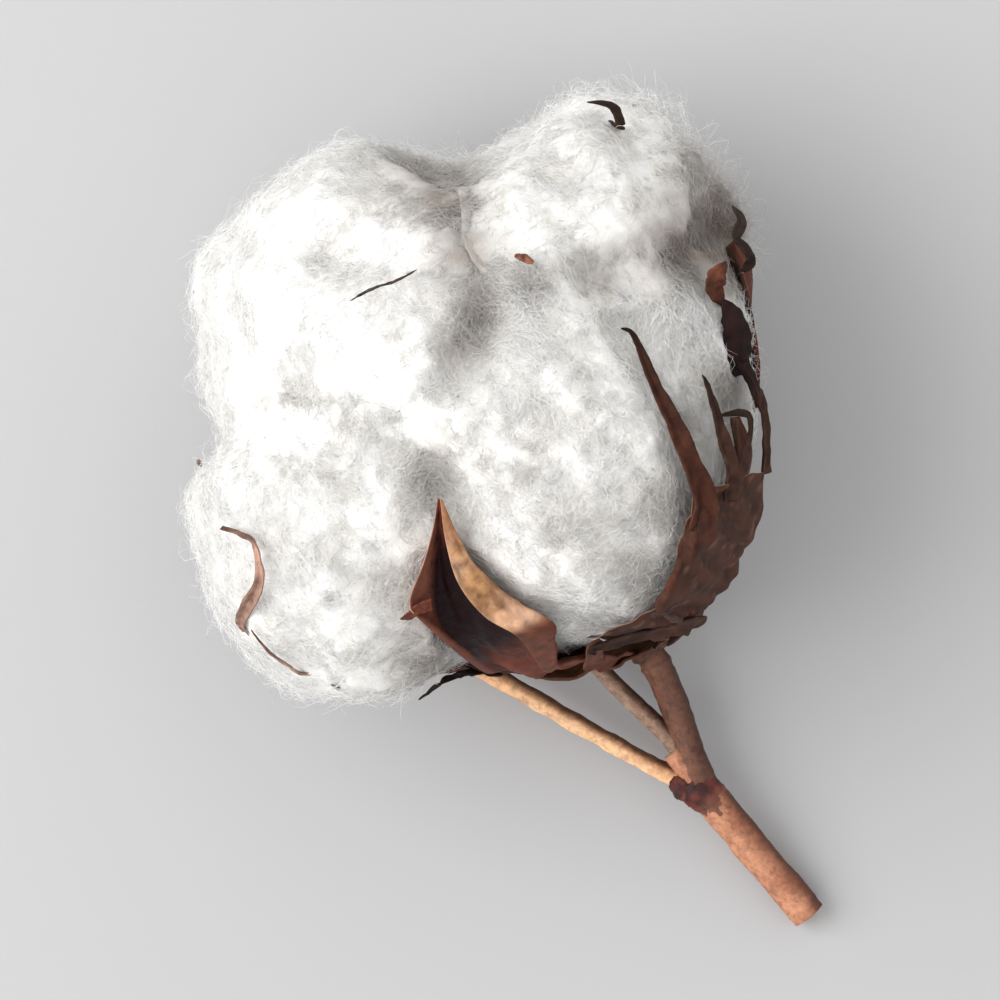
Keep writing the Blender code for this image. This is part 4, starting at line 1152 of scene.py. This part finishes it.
# --------------------------------------------------------------------------
# Broken bits caught in the lint
# --------------------------------------------------------------------------
def make_bits():
    pts = [pl(417.4, 174.6, 0.25), pl(420.8, 172.6, 0.62), pl(424.0, 171.2, 0.72), pl(428.4, 169.8, 0.60),
           pl(433.2, 167.2, 0.45)]
    p, n, s, a, mid = tube(pts, [0.05, 0.15, 0.13, 0.16, 0.07], 60, 10, seed=5)
    p = p + n * (0.05 * vnoise(p, 0.4, 61))[..., None]
    c = np.clip(np.broadcast_to(np.array([0.055, 0.036, 0.030]), p.shape)
                * (1 + 0.8 * vnoise(p, 0.8, 62))[..., None], 0.005, 1)
    join_sheets("bit_splinter", [closed_tube("sp", p, c, MAT_CRUMB)], "crumb", ["splinter"])
    for node, x, y, r, col, seed in (
            ("crumb_red", 458.7, 164.5, 0.62, (0.170, 0.068, 0.040), 71),
            ("crumb_left", 381.0, 213.0, 0.42, (0.13, 0.09, 0.07), 72),
            ("crumb_lower", 413.7, 266.5, 0.40, (0.08, 0.045, 0.032), 73)):
        d, f = icosphere(4)
        at = pl(x, y, 0.30)
        # a flake: flat across the surface, torn round its edge
        up = unit(at)
        t1 = unit(np.cross(up, np.array([0.3, 0.8, 0.1])))
        t2 = np.cross(up, t1)
        q = (d @ np.stack([t1, t2, up]).T)
        rad = r * (1 + 0.35 * vnoise(d, 0.9, seed) + 0.25 * vnoise(d, 0.35, seed + 1))
        p = at + (d[:, :1] * t1 * 1.25 + d[:, 1:2] * t2 * 0.8 + d[:, 2:] * up * 0.55) * rad[:, None]
        ob = mesh_object(node.replace("crumb", "bit"), p, f, [MAT_CRUMB])
        add_tint(ob, np.clip(np.array(col) * (1 + 0.6 * vnoise(p, 0.35, seed + 2))[:, None], 0.004, 1))
        piece(ob, "crumb", node)


MAT_TWIG = dry_material("twig_mat", (0.45, 0.7), 0.35, coarse=1300.0, fine=5200.0)
MAT_CRUMB = dry_material("crumb_mat", (0.6, 0.9), 0.5)


# --------------------------------------------------------------------------
# Lint locks
# --------------------------------------------------------------------------
ICO_D, ICO_F = icosphere(7)


def lock_skin(i, p):
    """The shared soft surface, sunk out of sight past the lock's boundary."""
    q = warp(p)
    f = lobes(q)
    others = np.delete(f, i, axis=0).min(axis=0)
    past = f[i] - others
    al = np.concatenate([f, core(q)[None]])
    low = al.min(axis=0)
    soft = low - BLEND * np.log(np.exp(-(al - low) / BLEND).sum(axis=0))
    q = np.clip(past - 0.2, 0.0, 8.0)
    return np.maximum(soft + 0.02 * i + 0.13 * q + 0.09 * q * q, 0.6 * (past - 7.0))


def tangled(p):
    """Colour of the lint: bright outside with a random warm tone, and painted shade:
    greyer and browner in the soft hollows between the locks and in the shade spots."""
    shade = np.clip(hollows(p) / 3.2, 0, 1)
    base = np.array([0.972, 0.966, 0.952])
    warm = np.array([0.86, 0.825, 0.760])
    c = mix(np.broadcast_to(base, p.shape), warm,
            np.clip(0.30 + 0.55 * vnoise(p, 2.6, 41) + 0.35 * vnoise(p, 1.1, 42), 0, 1) * 0.42)
    # painted shade: grey-brown in the soft hollows between the locks, by their depth
    c = mix(c, np.array([0.27, 0.240, 0.205]), np.clip(shade * (0.95 + 0.3 * vnoise(p, 1.5, 44)), 0, 0.80))
    # painted shade: the brown-grey shade spots, fading out well below each spot's level
    spot_shade = np.zeros(len(p))
    for q, r, amount in PAINTED_SHADE_SPOTS:
        spot_shade = np.maximum(spot_shade, amount * np.exp(-((p - q)[:, :2] ** 2).sum(-1) / (2 * r * r))
                           * np.clip((p[:, 2] - q[2] + 14.0) / 11.0, 0, 1))
    spot_shade = np.clip(spot_shade * (1 + 0.35 * vnoise(p, 1.6, 43)), 0, 0.97)
    return mix(c, np.array([0.215, 0.165, 0.132]), spot_shade)


def make_lock(name):
    i = NAMES.index(name)
    c = np.array(LOCKS[name][0]) * 0.75
    t = last_inside(lambda p: np.maximum(lock_skin(i, p), -(p[:, 2] + REST - 0.03)),
                    c, ICO_D, 44.0, 44)
    p = c + ICO_D * t[:, None]
    n = gradient(lambda q: lock_skin(i, q), p)
    p = p + n * lump(p)[:, None]
    p[:, 2] = np.maximum(p[:, 2], -REST + 0.02)
    ob = mesh_object(name.replace("lock", "mass"), p, ICO_F, [MAT_LINT])
    add_tint(ob, tangled(p))
    return piece(ob, "lint", name)


def strand_mesh(name, paths, radii, mat, tint=None, bright=None):
    """Closed three-sided tubes along paths (n, k, 3) with radii (n, k), mm."""
    n, k, _ = paths.shape
    tan = np.empty_like(paths)
    tan[:, 1:-1] = paths[:, 2:] - paths[:, :-2]
    tan[:, 0] = paths[:, 1] - paths[:, 0]
    tan[:, -1] = paths[:, -1] - paths[:, -2]
    tan = unit(tan)
    ref = unit(paths.mean(axis=1))[:, None, :] + np.array([0.013, 0.027, 0.019])
    a = unit(np.cross(tan, ref))
    b = np.cross(tan, a)
    rings = []
    for s in range(3):
        ang = 2 * math.pi * s / 3
        rings.append(paths + radii[..., None] * (math.cos(ang) * a + math.sin(ang) * b))
    v = np.stack(rings, axis=2)                       # n, k, 3, 3
    verts = v.reshape(-1, 3)
    base = (np.arange(n) * k * 3)[:, None, None, None]
    seg = (np.arange(k - 1) * 3)[None, :, None, None]
    s0 = np.arange(3)[None, None, :, None]
    s1 = (np.arange(3)[None, None, :, None] + 1) % 3
    tri1 = np.concatenate([base + seg + s0, base + seg + s1, base + seg + 3 + s1], axis=-1)
    tri2 = np.concatenate([base + seg + s0, base + seg + 3 + s1, base + seg + 3 + s0], axis=-1)
    caps = np.empty((n, 2, 3), dtype=np.int64)
    b0 = np.arange(n) * k * 3
    caps[:, 0] = b0[:, None] + np.array([0, 2, 1])
    caps[:, 1] = b0[:, None] + (k - 1) * 3 + np.array([0, 1, 2])
    faces = np.concatenate([tri1.reshape(-1, 3), tri2.reshape(-1, 3), caps.reshape(-1, 3)])
    ob = mesh_object(name, verts, faces, [mat])
    col = tangled(paths.reshape(-1, 3)) if tint is None else tint
    if bright is not None:
        col = np.clip(col * np.repeat(bright, k)[:, None], 0, 0.97)
    add_tint(ob, np.repeat(col, 3, axis=0))
    return ob


def surface_samples(name, count, rng):
    """Points spread evenly over the part of a lock's mass that shows."""
    i = NAMES.index(name)
    me = bpy.data.objects[name.replace("lock", "mass")].data
    co = np.empty(len(me.vertices) * 3, np.float32)
    me.vertices.foreach_get("co", co)
    co = co.reshape(-1, 3).astype(float) / MM - SHIFT
    tri = co[ICO_F]
    area = 0.5 * np.linalg.norm(np.cross(tri[:, 1] - tri[:, 0], tri[:, 2] - tri[:, 0]), axis=1)
    mid = tri.mean(axis=1)
    f = lobes(warp(mid))
    past = f[i] - np.delete(f, i, axis=0).min(axis=0)
    area = area * (past < 0.6) * (mid[:, 2] > -REST + 0.12)
    pick = rng.choice(len(area), size=count, p=area / area.sum())
    r1, r2 = np.sqrt(rng.random(count)), rng.random(count)
    t = tri[pick]
    return (t[:, 0] * (1 - r1)[:, None] + t[:, 1] * (r1 * (1 - r2))[:, None]
            + t[:, 2] * (r1 * r2)[:, None])


class HardParts:
    """Distance from the dry parts, so that the lint lies under them."""

    def __init__(self, objects):
        verts, faces, base = [], [], 0
        for ob in objects:
            me = ob.data
            co = np.empty(len(me.vertices) * 3, np.float32)
            me.vertices.foreach_get("co", co)
            co = co.reshape(-1, 3).astype(float) / MM - SHIFT
            me.calc_loop_triangles()
            t = np.empty(len(me.loop_triangles) * 3, np.int32)
            me.loop_triangles.foreach_get("vertices", t)
            verts.append(co)
            faces.append(t.reshape(-1, 3) + base)
            base += len(co)
        self.v = np.concatenate(verts)
        self.f = np.concatenate(faces)
        self.tree = BVHTree.FromPolygons([tuple(x) for x in self.v],
                                         [tuple(x) for x in self.f.tolist()])
        # coarse grid of distances
        self.lo = np.array([-36.0, -40.0, -28.0])
        self.step = 0.5
        n = ((np.array([36.0, 36.0, 32.0]) - self.lo) / self.step).astype(int) + 1
        self.n = n
        centre = self.v[self.f].mean(axis=1)
        idx = np.floor((np.concatenate([self.v, centre]) - self.lo) / self.step).astype(int)
        ok = ((idx >= 1) & (idx < n - 1)).all(1)
        grid = np.zeros(n, bool)
        grid[tuple(idx[ok].T)] = True
        near = np.full(n, 9.0)
        cur = grid
        for k in range(5):
            near[cur & (near > 8)] = k * self.step
            g = cur.copy()
            for ax in range(3):
                g |= np.roll(cur, 1, ax) | np.roll(cur, -1, ax)
            cur = g
        self.near = near

    def coarse(self, p):
        idx = np.clip(np.floor((p - self.lo) / self.step).astype(int), 0, self.n - 1)
        return self.near[tuple(idx.T)]


def comb(start, length, height, rings, rng, stray=0.35, flow_mix=1.0):
    """Paths that lie along the lint, each ring at its own height above it."""
    n = len(start)
    paths = np.empty((n, rings, 3))
    p = start.copy()
    heading = unit(rng.normal(size=(n, 3)))
    step = (length / (rings - 1))[:, None]
    fun = lint_field
    for k in range(rings):
        g = gradient(fun, p)
        want = height[:, k] + lump(p)
        p = p + g * (want - fun(p))[:, None]
        p[:, 2] = np.maximum(p[:, 2], -REST + 0.05)
        paths[:, k] = p
        flow = (waves(p, FLOW_A) + 0.9 * waves(p, FLOW_B) + 0.8 * waves(p, FLOW_C))
        heading = unit(heading * 0.8 + flow_mix * 0.9 * flow
                       + stray * rng.normal(size=(n, 3)))
        t = heading - (heading * g).sum(-1, keepdims=True) * g
        heading = unit(t)
        p = p + heading * step
    return paths


def clear_of_hard(paths, reach, rng, allow=0.0):
    """Which strands keep off the dry parts."""
    n, k, _ = paths.shape
    d = HARD.coarse(paths.reshape(-1, 3)).reshape(n, k).min(axis=1)
    for f in (0.33, 0.67):
        between = paths[:, :-1] * (1 - f) + paths[:, 1:] * f
        d = np.minimum(d, HARD.coarse(between.reshape(-1, 3)).reshape(n, k - 1).min(axis=1))
    return (d > reach) | (rng.random(n) < allow)


def halo_gain(p):
    """The loose fibre stands out further in some places."""
    g = np.ones(len(p))
    for q, r, amount in WILD:
        g = np.maximum(g, 1 + amount * np.exp(-((p - q) ** 2).sum(-1) / (2 * r * r)))
    return g


def make_fibres(name, count, seed):
    rng = np.random.default_rng(seed)
    short = name.replace("lint_lock_", "")
    rings = 5
    s = np.linspace(0, 1, rings)[None, :]
    # 1, 2: the mat that covers the surface
    for part in range(MATS):
        n = count
        start = surface_samples(name, n, rng)
        length = rng.uniform(1.8, 4.8, n)
        top = np.abs(rng.normal(0.0, 0.18 + 0.10 * part, n)) + 0.03
        height = -0.10 + (top[:, None] + 0.10) * np.sin(math.pi * np.clip(s * 0.9 + 0.05, 0, 1))
        paths = comb(start, length, height, rings, rng, stray=0.95, flow_mix=0.5)
        keep = clear_of_hard(paths, 0.45, rng, 0.001)
        paths = paths[keep]
        n = len(paths)
        rad = np.ones((n, rings)) * rng.uniform(0.016, 0.032, (n, 1))
        rad[:, 0] *= 0.4
        rad[:, -1] *= 0.3
        bright = rng.uniform(0.95, 1.03, n)
        piece(strand_mesh("lint_mat%d_%s" % (part + 1, short), paths, rad, MAT_FIBRE,
                          bright=bright), "lint")
    # 3: loose fibre that stands off the surface
    n = count
    start = surface_samples(name, n, rng)
    length = rng.uniform(2.5, 6.5, n)
    top = np.minimum((rng.gamma(2.0, 0.32, n) + 0.1) * halo_gain(start), 4.2)
    # it stays low under the calyx and beside the segments of the bur
    top = top * (1 - 0.65 * np.clip(pressed(start) / 1.7, 0, 1))
    top = np.where(-(unit(start) @ U) > 0.66, np.minimum(top, 0.7), top)
    height = -0.2 + (top[:, None] + 0.2) * (s ** 0.9)
    arch = rng.random(n) < 0.45
    height[arch] = -0.2 + (top[arch, None] + 0.2) * np.sin(math.pi * np.clip(s * 0.92, 0, 1))
    paths = comb(start, length, height, rings, rng, stray=0.8, flow_mix=0.5)
    paths = paths[clear_of_hard(paths, 0.95, rng, 0.003)]
    n = len(paths)
    rad = np.ones((n, rings)) * rng.uniform(0.011, 0.018, (n, 1))
    rad[:, 0] *= 0.5
    rad[:, -1] *= 0.25
    piece(strand_mesh("lint_fluff_" + short, paths, rad, MAT_HALO), "lint")


WILD = [(pl(498, 132, 0.0), 6.0, 1.2), (pl(509, 145, 0.0), 7.0, 1.9),
        (pl(513, 165, 0.0), 4.5, 1.4), (pl(440, 133, 0.0), 4.0, 0.5)]


make_valve_front()
# the right and upper right segments get painted shade through dark
generic_valve("bur_valve_right", [(13, 36), (28, 36), (43, 37), (57, 40), (69, 43), (79, 46)],
              [2.8, 5.4, 6.4, 5.4, 3.2, 0.3], 5, curl=0.5, base=0.0, dark=0.85)
generic_valve("bur_valve_upper_right", [(13, 92), (32, 89), (50, 86), (68, 82), (82, 80), (95, 80)],
              [2.8, 5.4, 6.6, 6.0, 4.2, 0.4], 6, curl=0.35, base=-0.45, dark=0.9)
generic_valve("bur_valve_back", [(13, 184), (27, 184), (40, 182), (52, 178), (64, 172), (73, 168)],
              [2.8, 4.6, 5.0, 4.4, 2.8, 0.3], 7, curl=0.8)
generic_valve("bur_valve_left", [(13, -106), (28, -108), (46, -108), (63, -106), (78, -103), (90, -100)],
              [2.8, 5.6, 7.0, 6.4, 4.0, 0.3], 8, curl=0.7, base=0.0)
for _line, _r in (([(20, 90), (34, 89), (50, 86), (66, 82), (80, 80)], 4.0),
                  ([(20, 36), (36, 37), (52, 39), (64, 42)], 3.2),
                  ([(20, -107), (36, -108), (54, -107), (72, -104)], 3.6),
                  ([(20, 184), (36, 182), (52, 178), (64, 172)], 3.0)):
    for _a, _b in zip(_line[:-1], _line[1:]):
        PRESSED.append((at_polar(*_a, 0.0), at_polar(*_b, 0.0), _r, 1.7))
make_calyx()
make_bract_right()
make_bract_left()
make_bract_back()
make_dark_leaves()
make_front_teeth()
make_twig()
make_bits()
for _n in NAMES:
    make_lock(_n)
HARD = HardParts([o for o in bpy.data.objects
                  if o.name.startswith(("bur_", "bract_leaf", "calyx")) and "tint" in o.data.color_attributes])
MATS = 2
_count = 7600
for _i, _n in enumerate(NAMES):
    make_fibres(_n, _count, 100 + _i)

# --------------------------------------------------------------------------
# Stage
# --------------------------------------------------------------------------
def make_floor():
    m, nt, b = new_material("floor_mat")
    b.inputs["Base Color"].default_value = (0.480, 0.480, 0.484, 1.0)
    b.inputs["Roughness"].default_value = 0.9
    b.inputs["Specular IOR Level"].default_value = 0.1
    me = bpy.data.meshes.new("floor")
    s = 3.0
    me.from_pydata([(-s, -s, 0), (s, -s, 0), (s, s, 0), (-s, s, 0)], [], [(0, 1, 2, 3)])
    me.materials.append(m)
    ob = bpy.data.objects.new("floor", me)
    bpy.context.scene.collection.objects.link(ob)


def area_light(name, place, target, size, power, colour=(1, 1, 1)):
    d = bpy.data.lights.new(name, "AREA")
    d.shape = "SQUARE"
    d.size = size
    d.energy = power
    d.color = colour
    o = bpy.data.objects.new(name, d)
    o.location = place
    o.rotation_euler = (Vector(target) - Vector(place)).to_track_quat("-Z", "Y").to_euler()
    bpy.context.scene.collection.objects.link(o)
    return o


def make_light():
    w = bpy.data.worlds.new("studio")
    bpy.context.scene.world = w
    w.use_nodes = True
    bg = w.node_tree.nodes["Background"]
    bg.inputs["Color"].default_value = (1.0, 1.0, 1.0, 1.0)
    bg.inputs["Strength"].default_value = 0.93
    area_light("key", (-0.56, 0.07, 0.60), (0, 0, 0.02), 0.75, 6.2)


def make_camera():
    c = bpy.data.cameras.new("camera")
    c.lens = 600.0
    c.sensor_width = 36.0
    c.clip_end = 10.0
    o = bpy.data.objects.new("camera", c)
    o.location = (0.0, 0.0, 0.027 + 1.725)
    o.rotation_euler = (0.0, 0.0, 0.0)
    bpy.context.scene.collection.objects.link(o)
    bpy.context.scene.camera = o


make_floor()
make_light()
make_camera()
bpy.context.scene.view_settings.view_transform = "Standard"
